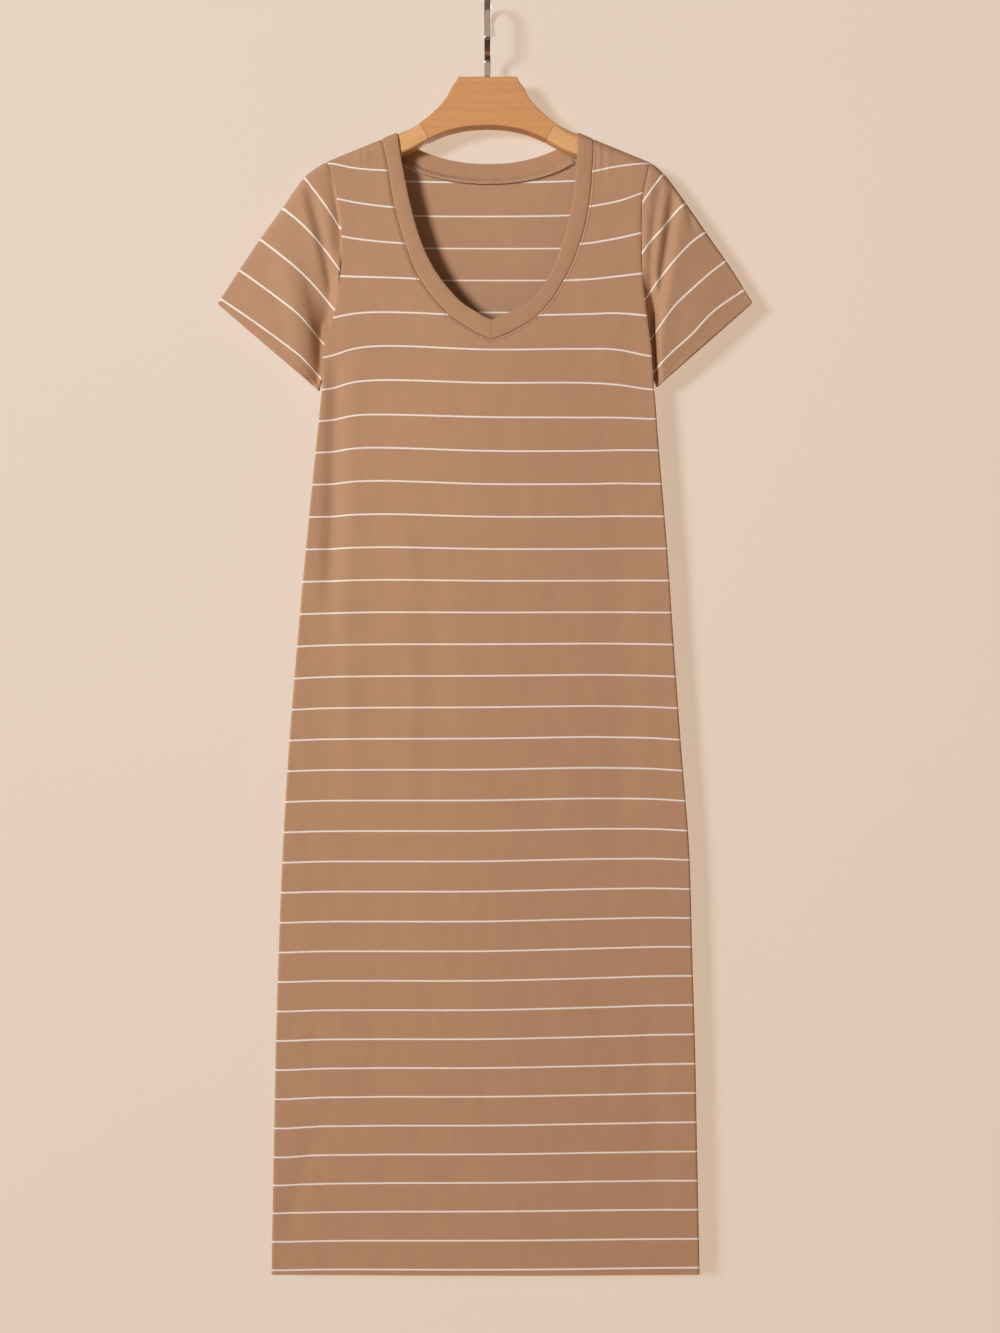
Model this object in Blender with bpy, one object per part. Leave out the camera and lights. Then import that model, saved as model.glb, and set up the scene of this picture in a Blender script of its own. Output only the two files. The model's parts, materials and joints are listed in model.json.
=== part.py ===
"""A striped jersey t-shirt dress with a V neck, hung flat on a three-piece wooden hanger.

Every size is in millimetres and is turned to metres when a mesh is made. X runs to the
right as the front is faced, -Y towards the front, +Z up. The origin is the inside top of
the hanger's hook, where a rail carries it.

The cloth is one family of surfaces. cloth_point() gives the place of a point of the front
or the back, and an inset into the wall, so both faces of each panel, the neckband and the
edges that the sleeves are sewn to all come from the same few tables.
"""

import bisect
import math
from collections import namedtuple

import bmesh
import bpy
from mathutils import Vector

MM = 0.001

# ---------------------------------------------------------------- cloth
JERSEY = 1.2  # wall of the panels and sleeves
HEM_WALL = 2.2  # where the hem is turned up inside
HEM_TURNING = 15.0
HEM_HEIGHT = -1473.5
UNDERARM_HEIGHT = -437.0
SEAM_GAP = 0.3
BAND_PROUD = 0.4  # the folded neckband stands this far out of the panels
FRONT, BACK = -1, 1
LEFT, RIGHT = -1, 1
SIDE_NAMES = {LEFT: "left", RIGHT: "right"}

# The shoulder seam is straight and lies over the hanger's arm.
SHOULDER_ROUND = 12.0  # outer radius of the cloth over the arm
SHOULDER_SLOPE = 0.41
NECK_POINT_X = 122.5
NECK_POINT_HEIGHT = -158.5

# Sections through the body: how far the sides reach, half the depth in the middle and
# beside the rounded side. Above the underarm the sides are only where they would be.
Section = namedtuple("Section", "height left right middle side")
SECTIONS = [
    Section(-1473.5, 250.2, 245.6, 11.5, 8.0),
    Section(-1329.0, 247.5, 242.6, 12.0, 8.0),
    Section(-1213.0, 245.2, 240.3, 12.5, 8.2),
    Section(-1097.0, 241.7, 236.8, 13.0, 8.4),
    Section(-981.0, 237.0, 233.4, 13.5, 8.6),
    Section(-865.0, 230.1, 224.3, 14.2, 8.8),
    Section(-750.0, 220.9, 216.0, 15.0, 9.0),
    Section(-634.0, 210.4, 208.0, 15.8, 9.4),
    Section(-518.0, 198.8, 198.4, 16.5, 10.0),
    Section(-460.0, 193.0, 194.0, 17.0, 10.6),
    Section(-437.0, 191.5, 192.3, 17.0, 11.2),
    Section(-400.0, 197.0, 198.0, 16.5, 12.4),
    Section(-330.0, 203.0, 203.0, 15.0, 12.8),
    Section(-230.0, 206.0, 206.0, 13.0, 12.2),
    Section(-190.0, 207.0, 207.0, 12.0, 12.0),
]
SIDE_ROUND_SHARE = 0.04  # of the half width that the rounded side takes

# The armhole seam, from the underarm to the end of the shoulder.
Armhole = namedtuple("Armhole", "height left right")
ARMHOLE = [
    Armhole(-437.0, 191.5, 192.3),
    Armhole(-425.0, 190.8, 190.6),
    Armhole(-400.0, 188.4, 188.8),
    Armhole(-385.0, 184.0, 186.8),
    Armhole(-357.0, 175.3, 182.8),
    Armhole(-318.0, 169.3, 178.4),
    Armhole(-270.0, 168.0, 177.0),
    Armhole(-231.0, 173.0, 178.2),
    Armhole(-200.0, 181.0, 184.0),
    Armhole(-184.5, 186.0, 188.5),
]

# The neckline. The seam joins the panels, the edge is the band's free edge, and arm is
# where the same row of cloth meets the armhole.
Neck = namedtuple("Neck", "seam seam_left seam_right edge edge_left edge_right arm")
FRONT_NECK = [
    Neck(-393.1, 4.0, 4.0, -370.0, 5.0, 5.0, -396.0),
    Neck(-384.3, -14.6, 27.0, -365.0, -6.0, 17.5, -380.0),
    Neck(-363.3, -45.4, 60.0, -347.7, -32.2, 50.0, -356.0),
    Neck(-322.4, -78.5, 88.9, -311.5, -61.2, 74.3, -322.0),
    Neck(-281.8, -95.0, 106.4, -275.8, -77.7, 87.8, -285.0),
    Neck(-240.0, -107.2, 116.5, -236.0, -89.0, 97.6, -248.0),
    Neck(-196.9, -114.8, 120.8, -193.5, -97.8, 102.2, -216.0),
    Neck(-158.5, -122.5, 122.5, -151.3, -104.8, 104.2, -184.5),
]
BACK_NECK = [
    Neck(-208.0, 0.0, 0.0, -183.3, 0.0, 0.0, -262.0),
    Neck(-206.0, -33.0, 34.0, -181.6, -28.0, 29.0, -250.0),
    Neck(-202.2, -55.0, 55.0, -177.4, -50.0, 50.0, -238.0),
    Neck(-195.3, -78.0, 78.0, -170.4, -71.0, 71.0, -226.0),
    Neck(-184.0, -99.0, 100.0, -162.3, -88.0, 88.0, -215.0),
    Neck(-173.0, -112.5, 113.5, -155.7, -98.5, 98.5, -204.0),
    Neck(-158.5, -122.5, 122.5, -151.3, -104.8, 104.2, -184.5),
]
# Rows of the back between the underarm and the neckline: in the middle, at the armhole.
BACK_ROWS = [(-384, -388), (-350, -362), (-314, -335), (-278, -308), (-243, -284)]
UNDERARM_ROWS = (-434.0, -429.0, -421.0, -409.0)
SKIRT_ROWS = 18
HEM_STEP = 2.0  # between the top of the hem's turning and the first plain row
SHOULDER_TURNS = (90.0, 67.5, 45.0, 22.5, 0.0)  # degrees down each side of the arm

# Columns of half a panel, as shares of the way from its outer edge to its middle.
ROUND_COLUMNS = [SIDE_ROUND_SHARE * (1 - math.cos(math.radians(a))) for a in (0, 30, 60, 90)]
COLUMNS = ROUND_COLUMNS + [0.075, 0.12, 0.19, 0.28, 0.4, 0.55, 0.77, 1.0]

# Soft folds that hang down the panels; a negative depth is a trough.
Fold = namedtuple("Fold", "face top_x top low_x low half_width depth")
FOLDS = [
    Fold(FRONT, -183, -395, -187, -735, 13, -2.6),
    Fold(FRONT, -162, -340, -160, -970, 14, 1.6),
    Fold(FRONT, -90, -540, -92, -970, 13, 1.2),
    Fold(FRONT, -68, -560, -72, -960, 13, -1.5),
    Fold(FRONT, 150, -560, 156, -1020, 20, -1.1),
    Fold(FRONT, -188, -1290, -240, -1440, 11, -1.6),
    Fold(BACK, -172, -400, -178, -800, 15, -2.2),
    Fold(BACK, 165, -390, 176, -840, 15, -2.4),
    Fold(BACK, -60, -330, -84, -900, 18, 1.6),
    Fold(BACK, 72, -420, 66, -1050, 18, -1.8),
    Fold(BACK, 200, -1180, 226, -1430, 14, -1.6),
]

# ---------------------------------------------------------------- sleeves
# Corners of each cuff: at the top fold and at the underarm.
CUFF_TOP = {LEFT: (-312.6, -348.5), RIGHT: (306.7, -347.5)}
CUFF_LOW = {LEFT: (-197.5, -449.5), RIGHT: (197.5, -445.0)}
SLEEVE_RINGS = (0.0, 0.05, 0.14, 0.3, 0.5, 0.7, 0.86, 0.925, 1.0)
CUFF_HALF_DEPTH = 9.0
CUFF_END_HALF_DEPTH = 6.0
CUFF_ROUND = 7.0
SLEEVE_PUFF = 3.0
# How far the top fold stands out of the straight line from the shoulder to the cuff.
SleeveHead = namedtuple("SleeveHead", "share left right")
SLEEVE_HEAD = [
    SleeveHead(0.0, 0.0, 0.0),
    SleeveHead(0.05, 5.2, 3.0),
    SleeveHead(0.14, 10.0, 5.3),
    SleeveHead(0.35, 7.8, 5.3),
    SleeveHead(0.57, 6.4, 4.2),
    SleeveHead(0.77, 3.8, 3.4),
    SleeveHead(1.0, 0.0, 0.0),
]
# The drag fold beside each armhole seam, as shares down the sleeve and down the seam.
DRAG_DEPTH = 3.0
DRAG_PLACE = 0.11
DRAG_HALF_WIDTH = 0.07
DRAG_TOP, DRAG_LOW = 0.08, 0.8
DRAG_START = 0.05  # share of the sleeve in which the fold grows from nothing
UNDERARM_TURN = 0.93  # share of the seam where it starts to run under the arm

# ---------------------------------------------------------------- hanger
WOOD_HALF_THICKNESS = 10.0
WOOD_TOP = -88.3
BLOCK_HALF_TOP = 34.5
BLOCK_BEVEL = 2.5
BLOCK_CORNER = (3.0, 1.2, 0.6)  # eased top corner: across, down, and left on the side
JOINT_TOP_X, JOINT_LOW_X = 78.0, 68.0
CLOTH_FROM_X = 104.0  # from here outwards the arm's top carries the cloth
ARM_END_X = 182.5
ARM_GAP = 0.3
PIN_DIAMETER = 4.6
PIN_DEPTH = 17.7
PIN_STAND = 0.8  # of the round pin above the wood
STRIP_START = 4.0  # where the hook is flat, above the wood
HOLE_SIDES = 16
HOLE_ABOVE = 5.0
# Top and bottom of the hanger at distances from its middle.
Wood = namedtuple("Wood", "x top bottom")
WOOD = [
    Wood(0.0, WOOD_TOP, -144.3),
    Wood(22.0, WOOD_TOP, -145.6),
    Wood(39.0, -97.0, -149.0),
    Wood(46.2, -110.0, -151.0),
    Wood(54.5, -121.0, -154.2),
    Wood(66.0, -132.0, -159.4),
    Wood(78.0, -141.3, -166.2),
    Wood(90.0, -147.3, -172.6),
    Wood(104.0, -152.4, -178.6),
    Wood(122.5, -160.0, -184.6),
    Wood(150.0, -171.3, -193.4),
    Wood(182.5, -184.6, -203.0),
]
BLOCK_SIDE = (39.0, 42.4, 46.2, 50.2, 54.5, 60.0, 66.0, 72.0)
BLOCK_ARCH = (0.0, 12.0, 24.0, 34.0, 43.0, 52.0, 60.0)
ArmStation = namedtuple("ArmStation", "top_x low_x top_round shrink")
ARM_STATIONS = [
    ArmStation(JOINT_TOP_X, JOINT_LOW_X, 2.5, 0.0),
    ArmStation(85.0, 79.0, 5.0, 0.0),
    ArmStation(93.0, 91.0, 8.0, 0.0),
    ArmStation(104.0, 104.0, 9.6, 0.0),
    ArmStation(122.5, 122.5, 9.6, 0.0),
    ArmStation(150.0, 150.0, 9.6, 0.0),
    ArmStation(176.0, 176.0, 9.6, 0.0),
    ArmStation(180.5, 180.5, 9.0, 1.2),
    ArmStation(ARM_END_X, ARM_END_X, 6.0, 3.6),
]
ARM_LOW_ROUND = 3.0
ARM_TOP_FLAT = 0.3  # half the width of the flat that is left along the top

# ---------------------------------------------------------------- hook
STRIP_WIDTH = 7.3
STRIP_THICKNESS = 2.2
STRIP_CHAMFER = 0.6
HOOK_INNER_RADIUS = 19.0
HOOK_STEM_TOP = -69.0  # above the wood, where the bend to the front begins
HOOK_BEND_TOP = -46.0
HOOK_BEND_STEPS = 7
HOOK_ARC_STEPS = 16
HOOK_TIP_DROP = 30.0  # degrees past level at the open end

# ---------------------------------------------------------------- colours
MATERIALS = {
    # name: base colour, roughness, metallic
    "jersey": ((0.479, 0.258, 0.153, 1), 0.85, 0.0),
    "neckband_jersey": ((0.45, 0.24, 0.142, 1), 0.85, 0.0),
    "wood_block": ((0.631, 0.305, 0.117, 1), 0.45, 0.0),
    "wood_arm": ((0.73, 0.402, 0.171, 1), 0.45, 0.0),
    "hook_metal": ((0.8, 0.8, 0.8, 1), 0.15, 1.0),
}


def clear_scene():
    for thing in list(bpy.data.objects):
        bpy.data.objects.remove(thing)


def material(name):
    made = bpy.data.materials.get(name)
    if made is None:
        colour, roughness, metallic = MATERIALS[name]
        made = bpy.data.materials.new(name)
        made.use_nodes = True
        shader = made.node_tree.nodes["Principled BSDF"]
        shader.inputs["Base Color"].default_value = colour
        shader.inputs["Roughness"].default_value = roughness
        shader.inputs["Metallic"].default_value = metallic
    return made


def object_from_bmesh(name, mesh_data, material_name, smooth=True):
    """Scales a closed mesh from millimetres, turns its faces outwards and links it."""
    bmesh.ops.recalc_face_normals(mesh_data, faces=mesh_data.faces)
    bmesh.ops.scale(mesh_data, vec=(MM, MM, MM), verts=mesh_data.verts)
    mesh = bpy.data.meshes.new(name)
    mesh_data.to_mesh(mesh)
    mesh_data.free()
    if smooth:
        mesh.shade_smooth()
        mesh.set_sharp_from_angle(angle=math.radians(50))
    mesh.materials.append(material(material_name))
    made = bpy.data.objects.new(name, mesh)
    bpy.context.scene.collection.objects.link(made)
    return made


def read_table(table, key, column):
    """A column's value at a key, on a smooth curve through the table's rows."""
    keys = [row[0] for row in table]
    values = [getattr(row, column) for row in table]
    i = min(max(bisect.bisect_right(keys, key) - 1, 0), len(keys) - 2)
    step = keys[i + 1] - keys[i]
    u = min(max((key - keys[i]) / step, 0.0), 1.0)

    def slope(j):
        a, b = max(j - 1, 0), min(j + 1, len(keys) - 1)
        return (values[b] - values[a]) / (keys[b] - keys[a])

    rise = (values[i] - values[i + 1]) * (2 * u - 3) * u * u
    curve = u * (u - 1) * step * ((u - 1) * slope(i) + u * slope(i + 1))
    return values[i] + rise + curve


def round_over(share):
    """Height of a quarter circle, 0 at its foot and 1 from a share of 1 onwards."""
    return math.sqrt(max(0.0, 1 - (1 - min(max(share, 0.0), 1.0)) ** 2))


def lerp(a, b, share):
    return a + (b - a) * share


def side_of(x):
    return RIGHT if x >= 0 else LEFT


def half_width(height, side):
    return read_table(SECTIONS, height, SIDE_NAMES[side])


def shoulder_height(x):
    return NECK_POINT_HEIGHT - SHOULDER_SLOPE * (abs(x) - NECK_POINT_X)


def fold_relief(face, x, z):
    """How far the soft folds push the cloth out at a place."""
    total = 0.0
    for fold in FOLDS:
        share = (z - fold.low) / (fold.top - fold.low)
        if fold.face != face or not 0 < share < 1:
            continue
        away = (x - lerp(fold.low_x, fold.top_x, share)) / fold.half_width
        total += fold.depth * math.sin(math.pi * share) ** 2 * math.exp(-away * away)
    return total


def cloth_point(face, x, z, inset=0.0):
    """Place of the front or back over (x, z), moved into the wall by the inset.

    The section is a flat tube with rounded sides, and its top is rounded over the
    hanger's arm. The inset shrinks both roundings, so the wall keeps its thickness.
    """
    side = side_of(x)
    width = half_width(z, side)
    side_round = SIDE_ROUND_SHARE * width
    into = width - abs(x)
    drop = shoulder_height(x) - z
    across = math.cos(0.5 * math.pi * min(abs(x) / width, 1.0)) ** 2
    middle, beside = read_table(SECTIONS, z, "middle"), read_table(SECTIONS, z, "side")
    depth = lerp(beside, middle, across) + fold_relief(face, x, z) - inset
    y = SEAM_GAP / 2 + depth * round_over(into / side_round) * round_over(drop / SHOULDER_ROUND)

    def shrunk(distance, radius):
        if distance < radius:
            return distance * (radius - inset) / radius
        return distance - inset

    inner_x = side * (width - inset - shrunk(into, side_round))
    inner_z = shoulder_height(x) - inset - shrunk(drop, SHOULDER_ROUND)
    return Vector((inner_x, face * y, inner_z))


def jersey_wall(z):
    return HEM_WALL if z <= HEM_HEIGHT + HEM_TURNING else JERSEY


def walled_object(name, outer, inner, quads, material_name):
    """A closed wall between two matching surfaces, with its open edges rimmed."""
    mesh_data = bmesh.new()
    out = [mesh_data.verts.new(point) for point in outer]
    back = [mesh_data.verts.new(point) for point in inner]
    for quad in quads:
        mesh_data.faces.new([out[i] for i in quad])
        mesh_data.faces.new([back[i] for i in reversed(quad)])
    index = {vert: i for i, vert in enumerate(out)}
    rim = [edge for edge in mesh_data.edges if edge.is_boundary and edge.verts[0] in index]
    for edge in rim:
        a, b = (index[vert] for vert in edge.verts)
        mesh_data.faces.new((out[a], out[b], back[b], back[a]))
    return object_from_bmesh(name, mesh_data, material_name)


def lofted_object(name, rings, material_name):
    """A solid through closed rings of equal length, with flat ends."""
    mesh_data = bmesh.new()
    loops = [[mesh_data.verts.new(point) for point in ring] for ring in rings]
    count = len(loops[0])
    for low, high in zip(loops, loops[1:]):
        for i in range(count):
            j = (i + 1) % count
            mesh_data.faces.new((low[i], low[j], high[j], high[i]))
    mesh_data.faces.new(loops[0])
    mesh_data.faces.new(loops[-1])
    return object_from_bmesh(name, mesh_data, material_name)


# ---------------------------------------------------------------- panels
Row = namedtuple("Row", "arm arm_left arm_right middle middle_left middle_right drop")


def neck_rows(table):
    """The table's own rows, then closer ones where the cloth turns over the arm.

    Each comes with its drop below the shoulder line, or None where it has its own height.
    """
    first_turn = table[-1].seam - SHOULDER_ROUND
    rows = [(neck, None) for neck in table if neck.seam < first_turn - 1]
    for degrees in SHOULDER_TURNS:
        drop = SHOULDER_ROUND * (1 - math.cos(math.radians(degrees)))
        seam = table[-1].seam - drop
        columns = [read_table(table, seam, column) for column in Neck._fields[1:-1]]
        rows.append((Neck(seam, *columns, ARMHOLE[-1].height - drop), drop))
    return rows


def armhole_x(height):
    return [side * read_table(ARMHOLE, height, SIDE_NAMES[side]) for side in (LEFT, RIGHT)]


def place_on(x, z, drop):
    """A row's end, at its height or at its drop below the shoulder line."""
    return (x, z) if drop is None else (x, shoulder_height(x) - drop)


def skirt_rows():
    hem_top = HEM_HEIGHT + HEM_TURNING
    heights = [HEM_HEIGHT, hem_top]
    for i in range(SKIRT_ROWS + 1):
        heights.append(lerp(hem_top + HEM_STEP, UNDERARM_HEIGHT, i / SKIRT_ROWS))
    rows = []
    for z in heights:
        rows.append(Row(z, -half_width(z, LEFT), half_width(z, RIGHT), z, 0.0, 0.0, None))
    return rows


def yoke_rows(table, between):
    """Rows above the underarm, and how many of them come before the neckline splits them."""
    rows = []
    for middle, arm in between:
        share = (middle - UNDERARM_HEIGHT) / (table[0].seam - UNDERARM_HEIGHT)
        centre = table[0].seam_left * share
        rows.append(Row(arm, *armhole_x(arm), middle, centre, centre, None))
    for neck, drop in neck_rows(table):
        ends = (neck.seam, neck.seam_left, neck.seam_right, drop)
        rows.append(Row(neck.arm, *armhole_x(neck.arm), *ends))
    return rows, len(between)


def panel_rows(face):
    if face == FRONT:
        table, between = FRONT_NECK, [(z, z) for z in UNDERARM_ROWS]
    else:
        table, between = BACK_NECK, [(z, z) for z in UNDERARM_ROWS] + BACK_ROWS
    skirt = skirt_rows()
    yoke, before_neck = yoke_rows(table, between)
    return skirt + yoke, len(skirt) + before_neck, len(skirt) - 1


def row_place(row, side, share):
    """(x, z) of a share of the way from the outer edge of a row to its middle."""
    arm = place_on(row.arm_left if side == LEFT else row.arm_right, row.arm, row.drop)
    middle_x = row.middle_left if side == LEFT else row.middle_right
    middle = place_on(middle_x, row.middle, row.drop)
    return lerp(arm[0], middle[0], share), lerp(arm[1], middle[1], share)


def make_panel(name, face):
    rows, split, _ = panel_rows(face)
    outer, inner, quads, index = [], [], [], {}
    last = len(COLUMNS) - 1
    for r, row in enumerate(rows):
        for side in (LEFT, RIGHT):
            for c, share in enumerate(COLUMNS):
                if side == RIGHT and c == last and r <= split:
                    index[r, side, c] = index[r, LEFT, c]
                    continue
                x, z = row_place(row, side, share)
                index[r, side, c] = len(outer)
                outer.append(cloth_point(face, x, z))
                inner.append(cloth_point(face, x, z, jersey_wall(z)))
    for r in range(len(rows) - 1):
        for side in (LEFT, RIGHT):
            for c in range(last):
                corners = ((r, c), (r, c + 1), (r + 1, c + 1), (r + 1, c))
                quad = [index[i, side, j] for i, j in corners]
                quads.append(quad if side == LEFT else quad[::-1])
    return walled_object(name, outer, inner, quads, "jersey")


# ---------------------------------------------------------------- neckband
def band_stations():
    """(face, seam place, edge place) round the neck, from the point of the V and back."""
    stations = []
    for side in (LEFT, RIGHT):
        path = []
        for face, table in ((FRONT, FRONT_NECK), (BACK, BACK_NECK)):
            part = []
            for neck, drop in neck_rows(table):
                seam_x = neck.seam_left if side == LEFT else neck.seam_right
                edge_x = neck.edge_left if side == LEFT else neck.edge_right
                seam, edge = place_on(seam_x, neck.seam, drop), place_on(edge_x, neck.edge, drop)
                part.append((0 if drop == 0 else face, Vector(seam), Vector(edge)))
            path += part if face == FRONT else part[-2::-1]
        stations += path if side == LEFT else path[-2::-1]
    return stations


def band_point(face, place, inset):
    x, z = place
    if face == 0:
        point = cloth_point(FRONT, x, z, inset)
        point.y = 0.0
        return point
    return cloth_point(face, x, z, inset)


def make_neckband():
    stations = band_stations()
    outer, inner, quads = [], [], []
    across = (0.0, 0.5, 1.0)
    for s, (face, seam, edge) in enumerate(stations):
        seam = seam + (edge - seam).normalized() * SEAM_GAP
        for share in across:
            place = seam.lerp(edge, share)
            if s == 0:
                place.x -= SEAM_GAP / 2
            if s == len(stations) - 1:
                place.x += SEAM_GAP / 2
            outer.append(band_point(face, place, -BAND_PROUD))
            inner.append(band_point(face, place, JERSEY))
    wide = len(across)
    for s in range(len(stations) - 1):
        for c in range(wide - 1):
            first = s * wide + c
            quads.append((first, first + 1, first + 1 + wide, first + wide))
    return walled_object("neckband", outer, inner, quads, "neckband_jersey")


# ---------------------------------------------------------------- sleeves
RingPoint = namedtuple("RingPoint", "outer inner down face")


def armhole_edge(face, side):
    """The panel's armhole edge from the shoulder down to the underarm."""
    rows, _, underarm = panel_rows(face)
    points = []
    for r in range(len(rows) - 1, underarm - 1, -1):
        x, z = row_place(rows[r], side, 0.0)
        points.append((cloth_point(face, x, z), cloth_point(face, x, z, JERSEY)))
    return points


def armhole_ring(side):
    """The sewn end of the sleeve: down the front edge and up the back one."""
    halves = {}
    for face in (FRONT, BACK):
        points = armhole_edge(face, side)
        lengths = [0.0]
        for (a, _), (b, _) in zip(points, points[1:]):
            lengths.append(lengths[-1] + math.hypot(b.x - a.x, b.z - a.z))
        halves[face] = [
            RingPoint(outer, inner, length / lengths[-1], face)
            for (outer, inner), length in zip(points, lengths)
        ]
    for face in (FRONT, BACK):
        for end in (0, -1):
            point = halves[face][end]
            flat = Vector((1, 0, 1))
            halves[face][end] = RingPoint(point.outer * flat, point.inner * flat, point.down, face)
    return halves[FRONT] + halves[BACK][-2:0:-1]


def beside_seam(down, side):
    """The gap to the panel's edge: outwards, and upwards at the underarm."""
    share = (down - UNDERARM_TURN) / (1 - UNDERARM_TURN)
    turn = min(max(share, 0.0), 1.0) * math.pi / 2
    return Vector((side * math.cos(turn), 0, math.sin(turn))) * SEAM_GAP


def drag_fold(along, down):
    """Depth of the fold that the sleeve's weight pulls beside the armhole."""
    share = (down - DRAG_TOP) / (DRAG_LOW - DRAG_TOP)
    if not 0 < share < 1:
        return 0.0
    away = (along - DRAG_PLACE) / DRAG_HALF_WIDTH
    start = min(along / DRAG_START, 1.0)
    return DRAG_DEPTH * start * math.sin(math.pi * share) ** 2 * math.exp(-away * away)


def sleeve_point(ring_point, along, side):
    start = ring_point.outer
    down = ring_point.down
    top, low = Vector(CUFF_TOP[side]), Vector(CUFF_LOW[side])
    cuff = top.lerp(low, down)
    place = Vector((start.x, start.z)).lerp(cuff, along)
    shoulder = Vector((side * getattr(ARMHOLE[-1], SIDE_NAMES[side]), ARMHOLE[-1].height))
    chord = (top - shoulder).normalized()
    outward = Vector((-chord.y, chord.x)) * side
    place += outward * read_table(SLEEVE_HEAD, along, SIDE_NAMES[side]) * (1 - down) ** 2
    cuff_length = (low - top).length
    end = round_over(min(down, 1 - down) * cuff_length / CUFF_ROUND)
    middle = math.sin(math.pi * down)
    cuff_depth = lerp(CUFF_END_HALF_DEPTH, CUFF_HALF_DEPTH, middle) * end
    share = along * along * (3 - 2 * along)
    depth = lerp(abs(start.y), cuff_depth, share)
    depth += SLEEVE_PUFF * math.sin(math.pi * along) * middle - drag_fold(along, down) * middle
    if down in (0.0, 1.0):
        depth = 0.0
    return Vector((place.x, ring_point.face * depth, place.y)) + beside_seam(down, side) * (1 - along)


def inward_normal(grid, k, i, centre):
    """Unit normal of the sleeve's outer surface, turned towards its hollow."""
    count = len(grid[k])
    around = grid[k][(i + 1) % count] - grid[k][i - 1]
    along = grid[min(k + 1, len(grid) - 1)][i] - grid[k - 1][i]
    normal = around.cross(along).normalized()
    return normal if normal.dot(centre - grid[k][i]) > 0 else -normal


def make_sleeve(side):
    ring = armhole_ring(side)
    grid = [[sleeve_point(point, along, side) for point in ring] for along in SLEEVE_RINGS]
    outer, inner, quads = [], [], []
    count = len(ring)
    for k, loop in enumerate(grid):
        centre = sum(loop, Vector()) / count
        wall = HEM_WALL if SLEEVE_RINGS[k] >= SLEEVE_RINGS[-2] else JERSEY
        for i, point in enumerate(loop):
            outer.append(point)
            if k == 0:
                inner.append(ring[i].inner + beside_seam(ring[i].down, side))
            else:
                inner.append(point + inward_normal(grid, k, i, centre) * wall)
    for k in range(len(grid) - 1):
        for i in range(count):
            j = (i + 1) % count
            quads.append((k * count + i, k * count + j, (k + 1) * count + j, (k + 1) * count + i))
    return walled_object(f"sleeve_{SIDE_NAMES[side]}", outer, inner, quads, "jersey")


# ---------------------------------------------------------------- hanger
def wood_top(x):
    if abs(x) >= CLOTH_FROM_X:
        return shoulder_height(x) - JERSEY - ARM_GAP
    return read_table(WOOD, abs(x), "top")


def wood_bottom(x):
    return read_table(WOOD, abs(x), "bottom")


def block_outline():
    """Half the block's face, from the middle of its top round to the middle of its arch."""
    across, down, side = BLOCK_CORNER
    half = [(BLOCK_HALF_TOP - across, WOOD_TOP), (BLOCK_HALF_TOP - side, WOOD_TOP - down)]
    half += [(x, wood_top(x)) for x in BLOCK_SIDE]
    half.append((JOINT_TOP_X - SEAM_GAP, wood_top(JOINT_TOP_X)))
    half.append((JOINT_LOW_X - SEAM_GAP, wood_bottom(JOINT_LOW_X)))
    half += [(x, wood_bottom(x)) for x in reversed(BLOCK_ARCH)]
    return half + [(-x, z) for x, z in half[-2::-1]]


def make_block():
    outline = block_outline()
    mesh_data = bmesh.new()
    verts = [mesh_data.verts.new((x, -WOOD_HALF_THICKNESS, z)) for x, z in outline]
    face = mesh_data.faces.new(verts)
    moved = bmesh.ops.extrude_face_region(mesh_data, geom=[face])["geom"]
    far = [item for item in moved if isinstance(item, bmesh.types.BMVert)]
    bmesh.ops.translate(mesh_data, vec=(0, 2 * WOOD_HALF_THICKNESS, 0), verts=far)
    weight = mesh_data.edges.layers.float.new("bevel_weight_edge")
    joint_ends = {JOINT_TOP_X - SEAM_GAP, JOINT_LOW_X - SEAM_GAP}
    for edge in mesh_data.edges:
        a, b = (vert.co for vert in edge.verts)
        across = a.y * b.y < 0
        joint = {round(abs(a.x), 3), round(abs(b.x), 3)} == joint_ends
        edge[weight] = 0.0 if across or joint else 1.0
    block = object_from_bmesh("hanger_block", mesh_data, "wood_block")
    bevel = block.modifiers.new("rounded edges", "BEVEL")
    bevel.width = BLOCK_BEVEL * MM
    bevel.segments = 3
    bevel.limit_method = "WEIGHT"
    hole = pin_hole()
    cut = block.modifiers.new("pin hole", "BOOLEAN")
    cut.operation = "DIFFERENCE"
    cut.object = hole
    return block


def pin_hole():
    """The cutter of the blind hole that the hook's pin goes into."""
    depth = PIN_DEPTH + SEAM_GAP + HOLE_ABOVE
    mesh_data = bmesh.new()
    radius = PIN_DIAMETER / 2 + 2 * SEAM_GAP
    bmesh.ops.create_cone(
        mesh_data, cap_ends=True, segments=HOLE_SIDES, radius1=radius, radius2=radius, depth=depth
    )
    middle = Vector((0, 0, WOOD_TOP + HOLE_ABOVE - depth / 2))
    bmesh.ops.translate(mesh_data, vec=middle, verts=mesh_data.verts)
    hole = object_from_bmesh("pin_hole_cutter", mesh_data, "wood_block", smooth=False)
    hole.hide_render = True
    hole.display_type = "WIRE"
    return hole


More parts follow.
